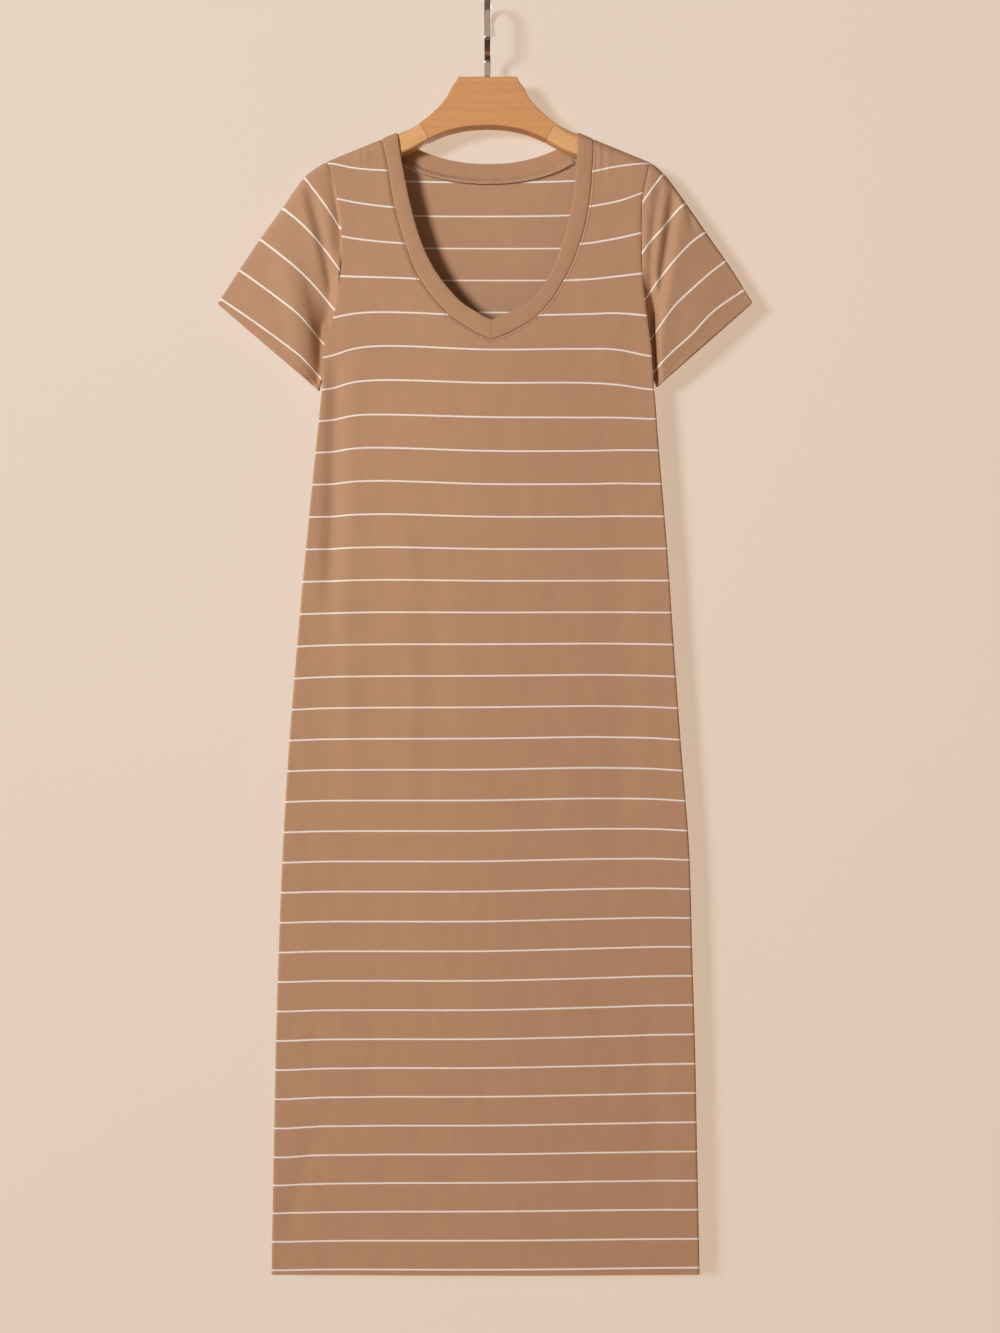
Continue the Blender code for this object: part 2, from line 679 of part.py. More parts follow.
def arm_ring(station, side):
    """A section of the arm: its top rounded to carry the cloth, its lower corners eased."""
    top = Vector((side * station.top_x, 0, wood_top(station.top_x)))
    low = Vector((side * station.low_x, 0, wood_bottom(station.low_x)))
    down = (low - top).normalized()
    top += down * station.shrink
    low -= down * station.shrink
    height = (low - top).length
    half = WOOD_HALF_THICKNESS - station.shrink
    upper = min(station.top_round, half - ARM_TOP_FLAT)
    lower = ARM_LOW_ROUND
    corners = [  # centre across, centre down, radius, first angle, steps
        (half - upper, upper, upper, 90, 5),
        (half - lower, height - lower, lower, 0, 2),
        (lower - half, height - lower, lower, -90, 2),
        (upper - half, upper, upper, -180, 5),
    ]
    ring = []
    for across, depth, radius, first, steps in corners:
        for i in range(steps + 1):
            angle = math.radians(first - 90 * i / steps)
            y = across + radius * math.cos(angle)
            ring.append(top + down * (depth - radius * math.sin(angle)) + Vector((0, y, 0)))
    return ring


def make_arm(side):
    rings = [arm_ring(station, side) for station in ARM_STATIONS]
    return lofted_object(f"hanger_arm_{SIDE_NAMES[side]}", rings, "wood_arm")


# ---------------------------------------------------------------- hook
def hook_route():
    """(y, z) of the strip's middle from above the wood, through its bend and round."""
    radius = HOOK_INNER_RADIUS + STRIP_THICKNESS / 2
    route = []
    for i in range(HOOK_BEND_STEPS + 1):
        share = i / HOOK_BEND_STEPS
        ahead = radius * (1 - math.cos(math.pi * share)) / 2
        route.append((-ahead, lerp(HOOK_STEM_TOP, HOOK_BEND_TOP, share)))
    for i in range(HOOK_ARC_STEPS + 1):
        angle = math.radians(180 - (180 + HOOK_TIP_DROP) * i / HOOK_ARC_STEPS)
        route.append((radius * math.cos(angle), radius * math.sin(angle) - HOOK_INNER_RADIUS))
    return route


def strip_ring(middle, along, width, thickness, chamfer):
    """An eight-sided section across the strip, square to its route."""
    across = Vector((1, 0, 0))
    normal = along.cross(across)
    w, t = width / 2, thickness / 2
    outline = [(w, t - chamfer), (w - chamfer, t), (chamfer - w, t), (-w, t - chamfer)]
    outline += [(-x, -n) for x, n in outline]
    return [middle + across * x + normal * n for x, n in outline]


def make_hook():
    eight_sided = PIN_DIAMETER * (1 - math.tan(math.pi / 8)) / 2
    up = Vector((0, 0, 1))
    rings = []
    for z in (WOOD_TOP - PIN_DEPTH, WOOD_TOP + PIN_STAND):
        rings.append(strip_ring(Vector((0, 0, z)), up, PIN_DIAMETER, PIN_DIAMETER, eight_sided))
    strip = (STRIP_WIDTH, STRIP_THICKNESS, STRIP_CHAMFER)
    rings.append(strip_ring(Vector((0, 0, WOOD_TOP + STRIP_START)), up, *strip))
    route = [Vector((0, y, z)) for y, z in hook_route()]
    for i, middle in enumerate(route):
        before = route[i - 1] if i else middle - up
        after = route[i + 1] if i < len(route) - 1 else 2 * middle - before
        rings.append(strip_ring(middle, (after - before).normalized(), *strip))
    return lofted_object("hook", rings, "hook_metal")


def main():
    clear_scene()
    make_panel("front_panel", FRONT)
    make_panel("back_panel", BACK)
    make_neckband()
    for side in (LEFT, RIGHT):
        make_sleeve(side)
        make_arm(side)
    make_block()
    make_hook()


main()
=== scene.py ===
"""Looks of a striped jersey t-shirt dress with a V neck, hung on a three-piece wooden hanger.

The file is laid out as a Blender add-on and is run as a script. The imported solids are
loaded first as a fixed frame. Then one operator for each group of pieces builds its meshes
and finishes round them, and the last one sets the studio.

Tables are in millimetres, with X to the right as the front is faced, -Y towards the front
and +Z up from the inside top of the hanger's hook. Points become metres when a mesh is made.
"""

import json
import math
from collections import namedtuple

import bmesh
import bpy
import numpy as np
from bpy.props import FloatProperty, FloatVectorProperty, PointerProperty
from bpy.types import Operator, Panel, PropertyGroup
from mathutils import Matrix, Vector

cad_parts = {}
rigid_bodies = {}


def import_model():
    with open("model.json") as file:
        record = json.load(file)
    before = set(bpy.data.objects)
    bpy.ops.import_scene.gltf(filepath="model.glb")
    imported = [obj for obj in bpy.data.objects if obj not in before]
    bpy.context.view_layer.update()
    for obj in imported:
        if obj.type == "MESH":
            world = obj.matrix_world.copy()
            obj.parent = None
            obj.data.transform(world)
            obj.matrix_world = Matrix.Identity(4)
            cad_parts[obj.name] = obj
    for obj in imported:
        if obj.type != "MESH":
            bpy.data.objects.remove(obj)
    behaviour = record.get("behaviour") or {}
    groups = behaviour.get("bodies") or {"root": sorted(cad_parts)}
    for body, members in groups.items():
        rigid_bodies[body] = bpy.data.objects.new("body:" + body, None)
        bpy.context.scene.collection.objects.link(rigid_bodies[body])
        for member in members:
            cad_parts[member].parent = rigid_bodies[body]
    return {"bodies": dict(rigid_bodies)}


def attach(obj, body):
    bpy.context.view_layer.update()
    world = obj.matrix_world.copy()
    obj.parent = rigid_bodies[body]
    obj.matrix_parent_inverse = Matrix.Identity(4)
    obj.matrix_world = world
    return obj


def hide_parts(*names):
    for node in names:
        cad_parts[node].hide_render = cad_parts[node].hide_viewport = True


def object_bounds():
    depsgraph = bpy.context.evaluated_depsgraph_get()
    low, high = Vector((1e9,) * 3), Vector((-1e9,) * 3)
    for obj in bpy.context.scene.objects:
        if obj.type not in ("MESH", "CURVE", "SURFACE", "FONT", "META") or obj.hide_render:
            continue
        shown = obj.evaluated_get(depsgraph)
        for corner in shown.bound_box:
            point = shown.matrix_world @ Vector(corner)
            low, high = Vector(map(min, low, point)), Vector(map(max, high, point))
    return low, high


bl_info = {
    "name": "T-shirt Dress on a Hanger",
    "version": (1, 0, 0),
    "blender": (4, 5, 0),
    "location": "View3D > Sidebar > Dress",
    "description": "Builds a striped jersey dress on its wooden hanger around packed solids",
    "category": "Add Mesh",
}

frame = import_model()
CAD_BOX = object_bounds()
BODY = next(iter(frame["bodies"]))

MM = 0.001
FRONT, BACK = -1, 1
LEFT, RIGHT = -1, 1
SIDE_NAMES = {LEFT: "left", RIGHT: "right"}


def numbers(text):
    """Numbers of a text, as an array of its lines."""
    return np.array([line.split() for line in text.strip().splitlines()], float)


def table(names, text):
    """Rows of a text's numbers, their columns named."""
    return [namedtuple("Row", names)(*row) for row in numbers(text).tolist()]


# ---------------------------------------------------------------- cloth sizes
JERSEY = 1.2  # wall of the panels and sleeves
HEM_WALL = 2.2  # where the hem is turned up inside
HEM_TURNING = 15.0
HEM_HEIGHT = -1471.0
UNDERARM_HEIGHT = -437.0
SEAM_GAP = 0.3
SHOULDER_ROUND = 12.0  # outer radius of the cloth over the arm
SHOULDER_SLOPE = 0.41
NECK_POINT_X = 122.5
NECK_POINT_HEIGHT = -158.5
SIDE_ROUND_SHARE = 0.009  # of the half width that the rounded side takes
LIP_SHARE = 0.42  # of the wall that rounds over at a cut or folded edge
LIP_SKIP = 0.05  # of that rounding, left out at an armhole's seam
CLOTH_STEP = 5.5  # between points of a panel
EDGE_STEPS = (0.0, 0.2, 0.5, 1.0, 2.0, 3.5, 5.5, 8.0)  # closer points beside a seam
EDGE_SHARE = 0.3  # the most of a row that those points may take
INNER_COLUMNS = 30
CROWD_ROWS = 26  # rows below the V over which points crowd towards it
CALM_FROM, CALM_OVER = 25.0, 60.0  # the shoulders don't sway
HEM_STEPS = (0.0, 0.15, 0.5, 1.1, 2.4, 4.6, 7.0, 9.2, 10.0, 10.8, 12.4, 14.2, 15.0, 15.8, 18.0)

SECTIONS = table("height left right middle side", """
    -1473.5 250.2 245.6 11.5 8
    -1329 247.5 242.6 12 8
    -1213 245.2 240.3 12.5 8.2
    -1097 241.7 236.8 13 8.4
    -981 237 233.4 13.5 8.6
    -865 230.1 224.3 14.2 8.8
    -750 220.9 216 15 9
    -634 210.4 208 15.8 9.4
    -518 198.8 198.4 16.5 10
    -460 193 194 17 10.6
    -437 191.5 192.3 17 11.2
    -400 197 198 16.5 12.4
    -330 203 203 15 12.8
    -230 206 206 13 12.2
    -190 207 207 12 12
""")

ARMHOLE = table("height left right", """
    -437 191.5 192.3
    -425 190.8 190.6
    -400 188.4 188.8
    -385 184 186.8
    -357 175.3 182.8
    -318 169.3 178.4
    -270 168 177
    -231 173 178.2
    -200 181 184
    -184.5 186 188.5
""")

# The seam joins the panels, the edge is the band's fold, and arm is where the same row of
# cloth meets the armhole.
NECK_COLUMNS = "seam seam_left seam_right edge edge_left edge_right arm"
NECKS = {
    FRONT: table(NECK_COLUMNS, """
        -393.1 4 4 -370 5 5 -396
        -384.3 -14.6 27 -365 -6 17.5 -380
        -363.3 -45.4 60 -347.7 -32.2 50 -356
        -322.4 -78.5 88.9 -311.5 -61.2 74.3 -322
        -281.8 -95 106.4 -275.8 -77.7 87.8 -285
        -240 -107.2 116.5 -236 -89 97.6 -248
        -196.9 -114.8 120.8 -193.5 -97.8 102.2 -216
        -158.5 -122.5 122.5 -151.3 -104.8 104.2 -184.5
    """),
    BACK: table(NECK_COLUMNS, """
        -208 0 0 -183.3 0 0 -262
        -207.85 -8.5 8.5 -183.2 -7.2 7.3 -259
        -207.3 -19 19.5 -182.75 -16.2 16.8 -255
        -206 -33 34 -181.6 -28 29 -250
        -202.2 -55 55 -177.4 -50 50 -238
        -195.3 -78 78 -170.4 -71 71 -226
        -184 -99 100 -162.3 -88 88 -215
        -173 -112.5 113.5 -155.7 -98.5 98.5 -204
        -158.5 -122.5 122.5 -151.3 -104.8 104.2 -184.5
    """),
}
SHOULDER_TURNS = 11  # rows down each side of the arm

# Folds of the hanging cloth. A negative depth is a trough; the half widths are those of its
# left and right flanks, and the bow bends the fold's line to the right.
CREASE_COLUMNS = "top_x top low_x low bow left right depth"
BODY_CREASES = {
    FRONT: table(CREASE_COLUMNS, """
        -175 -385 -186 -720 2 7 16 -4.4
        -162 -330 -160 -980 -3 11 16 1.6
        -92 -540 -94 -970 4 15 15 0.6
        -68 -560 -72 -960 4 14 18 -0.8
        150 -560 156 -1020 3 22 18 -1.1
        -188 -1290 -240 -1440 -4 9 12 -1.6
        -150 -142 -147 -196 1 5 2.4 1
        -139 -138 -141 -196 -1 2.4 5 0.9
        128 -138 130 -206 0 2 2 0.7
        136 -140 139 -214 1 2.4 6 0.7
        162 -330 170 -470 -3 8 10 -0.4
        120 -395 176 -448 5 14 12 0.8
        -120 -400 -172 -452 -5 12 14 0.9
        18 -430 10 -760 3 26 22 -0.5
        96 -760 104 -1330 -4 22 26 0.7
        -128 -1000 -136 -1390 3 20 24 -0.6
        186 -1120 203 -1430 -3 14 12 -1
    """),
    BACK: table(CREASE_COLUMNS, """
        -146 -150 -148 -210 -1 3 6 1
        140 -150 144 -216 1 5 3 1.1
        -172 -400 -178 -800 -3 14 16 -2.2
        165 -390 176 -840 4 16 13 -2.4
        -60 -330 -84 -900 -5 18 18 1.6
        72 -420 66 -1050 4 18 18 -1.8
        200 -1180 226 -1430 4 12 15 -1.6
        -24 -300 -18 -560 3 20 24 -0.7
        -196 -1080 -214 -1420 -4 14 12 -1.1
        118 -300 168 -450 6 13 10 0.9
    """),
}
CREASE_END = 0.25  # of a fold's length, over which it dies away
# Slow unevenness of the cloth: how far it sways, over which length across and down.
SWAYS = table("height across down turn", """
    0.35 96 310 0.7
    0.25 -57 190 2.1
    0.16 33 -120 4.4
""")

# ---------------------------------------------------------------- stripes
STRIPE_BLUR = 0.00035  # softness of a stripe's edge, in metres
WALE, COURSE = 0.00088, 0.00072  # width and height of a knitted loop, in metres
# Stripe n of the body lies at FIRST + PITCH n + SPREAD n n on the middle of the front.
STRIPE_FIRST, STRIPE_PITCH, STRIPE_SPREAD = -1461.9, 31.98, 0.10735
# How far each stripe rises from that height across the cloth.
STRIPE_PLACES = (-232.0, -190.0, -150.0, -110.0, 0.0, 110.0, 150.0, 190.0, 232.0)
RISES = {
    FRONT: numbers("""
        -1 -3.6 -2.6 -2.3 -2.2 -1.9 -1.3 -1 -0.8 -0.6
        0 -3.4 -2.5 -2.2 -2.1 -1.8 -1.2 -0.9 -0.7 -0.5
        2 -2.2 -0.9 -0.2 0.3 1 1.9 2 2 2
        4 -2.8 -0.3 0.3 1 1.7 2.9 3.2 3.4 3.9
        6 -1.8 0.3 0.8 1.4 2 3.6 4 4.6 5.4
        10 -1.4 0 0.2 0.4 1 3.3 4.2 5.4 5.8
        17 -2.4 -1 -0.6 -0.4 0 1.8 1.4 0.6 -2.2
        20 -3.8 -1.6 -0.8 -0.4 0 1 0.8 0 -1.4
        22 -2.6 -1.2 -0.2 0.2 -0.2 0.2 0.3 0 -0.2
        24 -1.6 -0.8 0.8 1.2 -1 -0.8 -0.2 -0.1 -0.1
        26 -1.2 -1 2.4 2.7 -1.1 -0.8 0.2 -0.2 -0.3
        27 -2 -1.8 2.9 3.1 -0.7 -0.4 0.8 0.8 0.8
        28 -3.6 -3.4 3 3.4 0.2 0.2 0.4 -1 -1.2
        29 -5.5 -5.5 3.4 5.1 1.4 2 0 -5.3 -5.3
        30 -7 -7 3.5 6 1.4 2.6 1.7 -5.5 -5.5
        31 -1.5 -1.5 5.2 6.3 2 4 5.3 2.4 2.4
        32 10 10 8.6 7.4 2.4 5 9 13.6 13.6
        33 19.7 19.7 13.2 9 2.8 7.6 14 22.5 22.5
        34 23.2 23.2 15.8 10.8 3.8 10.6 17.6 30.2 30.2
        35 23.3 23.3 16 13.3 4.8 11 18.4 22.6 22.6
        37 24 24 17 14 5 12 18 22 22
    """),
    BACK: numbers("""
        -1 -3.6 -2.6 -1.8 -1.4 -1 -1.1 -1 -0.8 -0.6
        0 -3.4 -2.5 -1.7 -1.2 -0.9 -1 -0.9 -0.7 -0.5
        10 -2.4 0 1.5 2 2 3.2 4.4 5.4 5.8
        20 -5 -1.8 2 4 5 4 2 0 -1.4
        29 -8 -8 4 10 12.5 10 3 -6.5 -6.5
        31 -1 -1 7 10.5 11.7 10.5 6 1 1
        33 12 12 10.5 8.8 8.2 8.6 10.5 14 14
        34 17 17 12 7.5 6.4 8 12 19 19
        35 20 20 13 8.2 6.4 8.6 14 20 20
        37 22 22 15 10 7 10 15 22 22
    """),
}

# Heights of each stripe of a sleeve at set distances from the body's middle.
SLEEVE_PLACES = {
    LEFT: (170.0, 185.0, 200.0, 215.6, 240.0, 270.0, 307.0),
    RIGHT: (178.0, 188.0, 200.0, 215.0, 235.0, 260.0, 300.0),
}
SLEEVE_STRIPES = {
    LEFT: numbers("""
        -568 -546 -528 -512 -494 -474 -450
        -512 -492 -475 -459 -441 -420 -396
        -463 -444.3 -427.4 -411.2 -392.3 -370.5 -344.8
        -420 -400.9 -383.3 -365.6 -345.5 -323.2 -296.5
        -366 -346.6 -329.5 -314.1 -293.6 -270.2 -243
        -312.7 -291.6 -273.6 -257.6 -237.6 -214.5 -188
        -263.8 -240.6 -220.2 -200.2 -172 -140 -103
        -196 -172 -150 -130 -100 -66 -28
    """),
    RIGHT: numbers("""
        -544 -532 -519 -505 -488 -464 -436
        -492 -480 -467 -452 -435 -410 -381
        -444 -432.5 -419.2 -404 -386.2 -359.4 -331
        -406 -391 -374.5 -354 -334.3 -312.2 -281.8
        -351.5 -336.2 -319.3 -301.2 -279.8 -261.5 -233
        -292.4 -278.6 -266.3 -246.8 -229 -207 -175
        -234.5 -220.5 -204.3 -187.5 -165 -140 -104
        -172 -156 -141 -124 -100 -74 -36
    """),
}

# ---------------------------------------------------------------- sleeves
CUFF_TOP = {LEFT: (-312.6, -348.5), RIGHT: (306.7, -347.5)}
CUFF_LOW = {LEFT: (-194.6, -449.6), RIGHT: (195.4, -445.4)}
CUFF_HALF_DEPTH = 9.0
CUFF_END_HALF_DEPTH = 6.0
CUFF_ROUND = 3.0
SLEEVE_PUFF = 3.0
UNDERARM_TURN = 0.93
UNDERARM_LENGTH = 90.0
SLEEVE_HEAD = table("share left right", """
    0 0 0
    0.05 4 3
    0.14 9.2 5.3
    0.35 7.8 5.3
    0.57 6.4 4.2
    0.77 3.8 3.4
    1 0 0
""")
SLEEVE_CREASES = {
    LEFT: {
        FRONT: table(CREASE_COLUMNS, """
            -211 -205 -177 -356 4 5 6 -4.8
            -216 -206 -192 -300 -3 5 6 1.3
            -171 -190 -172 -305 3 9 7 -4.6
            -182 -290 -191 -540 0 22 8 -9
            -213 -296 -186 -440 2 7 12 -2.6
            -184 -332 -191.5 -540 0 12 8 -11
            -244 -262 -222 -402 6 12 10 1.2
            -262 -300 -232 -420 8 10 12 -0.8
        """),
        BACK: table(CREASE_COLUMNS, """
            -204 -216 -176 -372 -3 9 6 -4.6
            -198 -304 -189 -500 2 16 6 -6
            -238 -250 -226 -400 4 14 14 1
        """),
    },
    RIGHT: {
        FRONT: table(CREASE_COLUMNS, """
            202 -196 187 -322 -3 3.4 3.2 -2.8
            193 -196 183 -300 -2 3 3.5 0.8
            218 -192 183.5 -416 2.5 4.6 6.5 -6.2
            207 -200 193 -300 2 4 4 0.7
            225 -196 206 -340 2 5 9 0.5
            221 -204 238 -272 2 3.4 4 -2.4
            188 -300 197 -500 0 9 4 -13
            203 -326 205 -476 0 5 10 0.2
            250 -280 216 -410 -8 16 14 -0.9
        """),
        BACK: table(CREASE_COLUMNS, """
            207 -214 188 -366 -4 7 7 -4.8
            190 -306 195 -500 0 7 6 -9
            240 -256 214 -404 -6 15 13 1
        """),
    },
}
# How near a fold presses each face to the sleeve's middle; the front one passes it. The
# cuff's doubled cloth keeps further away.
FOLD_LIMIT = {FRONT: -3.0, BACK: 5.6}
CUFF_FOLD_LIMIT = {FRONT: -0.6, BACK: 7.2}
FLOOR_SOFTNESS = 0.6
NEAR_CUFF, NEAR_CUFF_OVER = 0.74, 0.1
RELIEF_FROM_SEAM, RELIEF_FROM_FOLD = 0.012, 0.05  # where a sleeve's folds begin
SLEEVE_STEPS = 30
CUFF_STEPS = (15.8, 15.0, 14.2, 12.4, 10.8, 10.0, 9.2, 7.0, 4.6, 2.4, 1.1, 0.5, 0.15, 0.0)

# ---------------------------------------------------------------- sewing
STITCH_ROWS = (15.0, 10.0)  # twin needle rows above a folded hem
STITCH_SINK = 0.28  # how far the thread pulls the cloth in
STITCH_WIDTH = 0.9
THREAD_STAND = 0.16  # how far the thread stands out of the drawn-in cloth
THREAD_INSET = STITCH_SINK - THREAD_STAND
STITCH_FILL = 0.86  # of the way to the next stitch
HEM_LINE_END = 1.5  # from the last hem stitch to the side
HEM_LINE_POINTS = 180
CUFF_LINE_STEP = 0.6  # between the three lines that a cuff's normals are taken from
BODY_ROLL = {LEFT: 0.1, RIGHT: 0.75}  # how far the armhole seam draws the body in
SLEEVE_ROLL = {LEFT: 1.25, RIGHT: 0.75}
ARMHOLE_ROLL_WIDTH = 2.8
NECK_ROLL, NECK_ROLL_WIDTH = 0.45, 2.0
NECK_STITCH = 2.7  # from the neckband's seam to the row of stitches beside it
NECK_STITCH_INSET = 0.05
NECK_STITCH_PITCH, NECK_STITCH_LENGTH = 0.0028, 0.0021  # metres
NECK_THREAD, OVERLOCK_THREAD = 1.6, 1.35  # times as thick as the hem's
# Section of the neckband, a strip folded double: distance from its seam or, where negative,
# from its fold, and inset into the cloth. It goes up the outside, round the fold and down
# the inside, then back between the two layers.
BAND_SECTION = [
    (0.0, 0.60), (0.2, 0.22), (0.7, -0.15), (1.8, -0.42), (4.5, -0.58), (11.0, -0.66),
    (-5.0, -0.60), (-1.9, -0.48), (-0.9, -0.28), (-0.3, 0.05), (-0.02, 0.42),
    (-0.12, 0.78), (-0.6, 1.12), (-1.8, 1.30), (-6.0, 1.38), (11.0, 1.38),
    (3.0, 1.36), (0.8, 1.28), (0.1, 1.02),
    (0.05, 0.86), (0.3, 0.72), (0.9, 0.55), (3.0, 0.42), (11.0, 0.40), (-6.0, 0.40),
    (-1.6, 0.39), (-1.25, 0.36), (-1.6, 0.33), (-6.0, 0.32), (11.0, 0.32), (3.0, 0.34),
    (0.9, 0.47), (0.3, 0.64), (0.05, 0.74),
]
MITRE_ROUND = 0.9
MITRE_SINK = 0.35
ALLOWANCE_SECTION = [
    (2.6, 1.42), (2.2, 2.4), (0.8, 3.1), (0.2, 3.8), (0.3, 4.6), (1.3, 4.9), (4.2, 3.7),
    (6.2, 2.4), (7.2, 1.7), (7.3, 1.42),
]
BAND_CUT = 44.0  # round the section of the band and of the allowance
ALLOWANCE_END_X = 101.0
ALLOWANCE_TAPER, ALLOWANCE_THINNER = 9.0, 1.0  # towards its ends
# Name, distance from the seam, inset, tilt, and in metres the length and pitch of stitches.
OVERLOCK_ROWS = (
    ("overlock_up", 3.3, 4.25, 1.15, 0.006, 0.0041),
    ("overlock_down", 3.3, 4.25, 1.9, 0.006, 0.0047),
    ("overlock_edge", 0.7, 4.85, 0.35, 0.0022, 0.0036),
)

# ---------------------------------------------------------------- hanger
WOOD_HALF_THICKNESS = 10.0
WOOD_TOP = -88.3
BLOCK_HALF_TOP = 34.5
BLOCK_CORNER = 1.6  # radius of the top corners
BLOCK_BEVEL = 2.5
BLOCK_SHOULDER = (36.4, -93.2)  # where the top corner runs into the side
BLOCK_SIDE_FROM = 36.6
BLOCK_SIDE_POINTS = 26
SHARP_BLOCK, SHARP_TUBE = 40, 42  # degrees across an edge that is shaded as a corner
JOINT_TOP_X, JOINT_LOW_X = 78.0, 68.0
CLOTH_FROM_X = 104.0
ARM_GAP = 0.3
WOOD = table("x top bottom", """
    0 -88.3 -144.3
    22 -88.3 -145.6
    39 -97 -149
    46.2 -110 -151
    54.5 -121 -154.2
    66 -132 -159.4
    78 -141.3 -166.2
    90 -147.3 -172.6
    104 -152.4 -178.6
    122.5 -160 -184.6
    150 -171.3 -193.4
    182.5 -184.6 -203
""")
ARM_STATIONS = table("top_x low_x top_round shrink", """
    78 68 2.5 0
    85 79 5 0
    93 91 8 0
    104 104 9.6 0
    122.5 122.5 9.6 0
    150 150 9.6 0
    176 176 9.6 0
    180.5 180.5 9 1.2
    182.5 182.5 6 3.6
""")
ARM_LOW_ROUND = 3.0
ARM_TOP_FLAT = 0.3
ARM_STEP = 3.0

PIN_DIAMETER = 4.6
PIN_DEPTH = 17.7
PIN_STAND = 0.8
PIN_FLAT = 0.05
STRIP_START = 4.0
STEM_RINGS = 9  # from the round pin to the flat strip
STRIP_WIDTH = 7.3
STRIP_THICKNESS = 2.2
STRIP_EDGE = 0.7
HOOK_INNER_RADIUS = 19.0
HOOK_STEM_TOP = -69.0
HOOK_BEND_TOP = -46.0
HOOK_BEND_STEPS = 22
HOOK_ARC_STEPS = 72
HOOK_TIP_DROP = 30.0

# ---------------------------------------------------------------- studio, in metres
CAMERA_PLACE = (0.014375, -2.015, -0.7687)
CAMERA_LENS = 46.97
WALL_PLACE = 0.024
WALL_HALF = 3.2
FLOOR_DROP = 0.34
FLOOR_HALF = 3.2
FLAG_HALF, FLAG_FRONT, FLAG_BACK, FLAG_RISE = 1, -2.4, 0.6, 0.05
KEY_SPREAD = 70  # degrees
SKY_COLOUR = (1.0, 0.68, 0.48, 1)
CHEST = (0.0, 0.0, -0.45)
# Name, place, target, width, power in watts and colour; the key light's power is a setting.
LIGHTS = (
    ("key", (-4.3, -5.0, 0.45), (0, 0, 0), 1.7, None, (1.0, 0.985, 0.96)),
    ("front_soft", (1.4, -2.6, -0.1), CHEST, 1.7, 3.2, (1.0, 0.72, 0.55)),
    ("hook_card", (0.0, -2.64, 0.94), CHEST, 1.8, 2.3, (1.0, 0.8, 0.64)),
    ("back_fill", (0.9, 2.3, 0.2), CHEST, 1.6, 40.0, (1.0, 0.98, 0.96)),
)


# ================================================================ settings
def colour_setting(name, description, default):
    return FloatVectorProperty(
        name=name, description=description, subtype="COLOR", size=3, min=0, max=1,
        default=default,
    )


def size_setting(name, description, unit, low, high, default):
    return FloatProperty(
        name=name, description=description, unit=unit, min=low, max=high, default=default
    )


class DressClothSettings(PropertyGroup):
    """Colours and sewing sizes of the dress."""

    jersey_colour: colour_setting("Jersey", "Ground of the jersey", (0.455, 0.267, 0.162))
    stripe_colour: colour_setting("Stripe", "Colour of the stripes", (0.87, 0.80, 0.74))
    band_colour: colour_setting("Neckband", "Colour of the neckband", (0.44, 0.255, 0.153))
    stripe_width: size_setting(
        "Stripe Width", "Width of one stripe", "LENGTH", 0.0005, 0.02, 0.0018
    )
    stitch_pitch: size_setting(
        "Stitch Length", "From one hem stitch to the next", "LENGTH", 0.001, 0.01, 0.0031
    )
    thread_radius: size_setting(
        "Thread Radius", "Half the width of the thread", "LENGTH", 0.0001, 0.001, 0.00026
    )


class DressHangerSettings(PropertyGroup):
    """Finish of the hanger."""

    block_colour: colour_setting("Block", "Wood of the middle block", (0.631, 0.305, 0.117))
    arm_colour: colour_setting("Arms", "Wood of the two arms", (0.73, 0.402, 0.171))
    metal_roughness: size_setting("Hook Roughness", "How dull the chrome is", "NONE", 0, 1, 0.13)


class DressStudioSettings(PropertyGroup):
    """Wall, floor and lights."""

    wall_colour: colour_setting("Wall", "Light that the wall scatters", (0.215, 0.225, 0.235))
    glow_colour: colour_setting("Wall Glow", "Light of its own", (0.555, 0.415, 0.308))
    floor_colour: colour_setting("Floor", "Colour of the floor", (0.80, 0.68, 0.58))
    key_power: size_setting("Key Light", "Light from the upper left", "POWER", 0, 500, 63.5)
    fill_strength: size_setting("Fill", "Light from all round", "NONE", 0, 4, 0.15)


# ================================================================ numbers and curves
def pick(rows, number):
    """From an array of rows, the one that each place's number says."""
    return np.take_along_axis(rows, np.asarray(number)[None], axis=0)[0]


def curve(keys, values, at):
    """Smooth curve through values at rising keys; each value may be an array like at."""
    keys, values = np.asarray(keys, float), np.asarray(values, float)
    each = (-1, *[1] * np.ndim(at))
    if values.ndim == 1:
        values = np.broadcast_to(values.reshape(each), (len(keys), *np.shape(at)))
    number, last = np.arange(len(keys)), len(keys) - 1
    before, after = np.maximum(number - 1, 0), np.minimum(number + 1, last)
    slopes = (values[after] - values[before]) / (keys[after] - keys[before]).reshape(each)
    i = np.clip(np.searchsorted(keys, at, side="right") - 1, 0, last - 1)
    step = keys[i + 1] - keys[i]
    u = np.clip((at - keys[i]) / step, 0.0, 1.0)
    low, high = pick(values, i), pick(values, i + 1)
    bend = (u - 1) * pick(slopes, i) + u * pick(slopes, i + 1)
    return low + (low - high) * (2 * u - 3) * u * u + u * (u - 1) * step * bend


def read(rows, column, at):
    """A column's values at an array of keys, on a smooth curve through a table's rows."""
    return curve([row[0] for row in rows], [getattr(row, column) for row in rows], at)


def mix(a, b, share):
    return a + (b - a) * share


def smooth(share):
    share = np.clip(share, 0.0, 1.0)
    return share * share * (3 - 2 * share)


def round_over(share):
    """Height of a quarter circle, 0 at its foot and 1 from a share of 1 onwards."""
    return np.sqrt(1 - (1 - np.clip(share, 0.0, 1.0)) ** 2)


def distances(points):
    """How far along a line of points each of them lies."""
    return np.concatenate([[0.0], np.cumsum(np.hypot(*(points[1:] - points[:-1]).T))])


def shoulder_height(x):
    return NECK_POINT_HEIGHT - SHOULDER_SLOPE * (np.abs(x) - NECK_POINT_X)


def by_side(x, rows, at):
    return np.where(x >= 0, read(rows, "right", at), read(rows, "left", at))


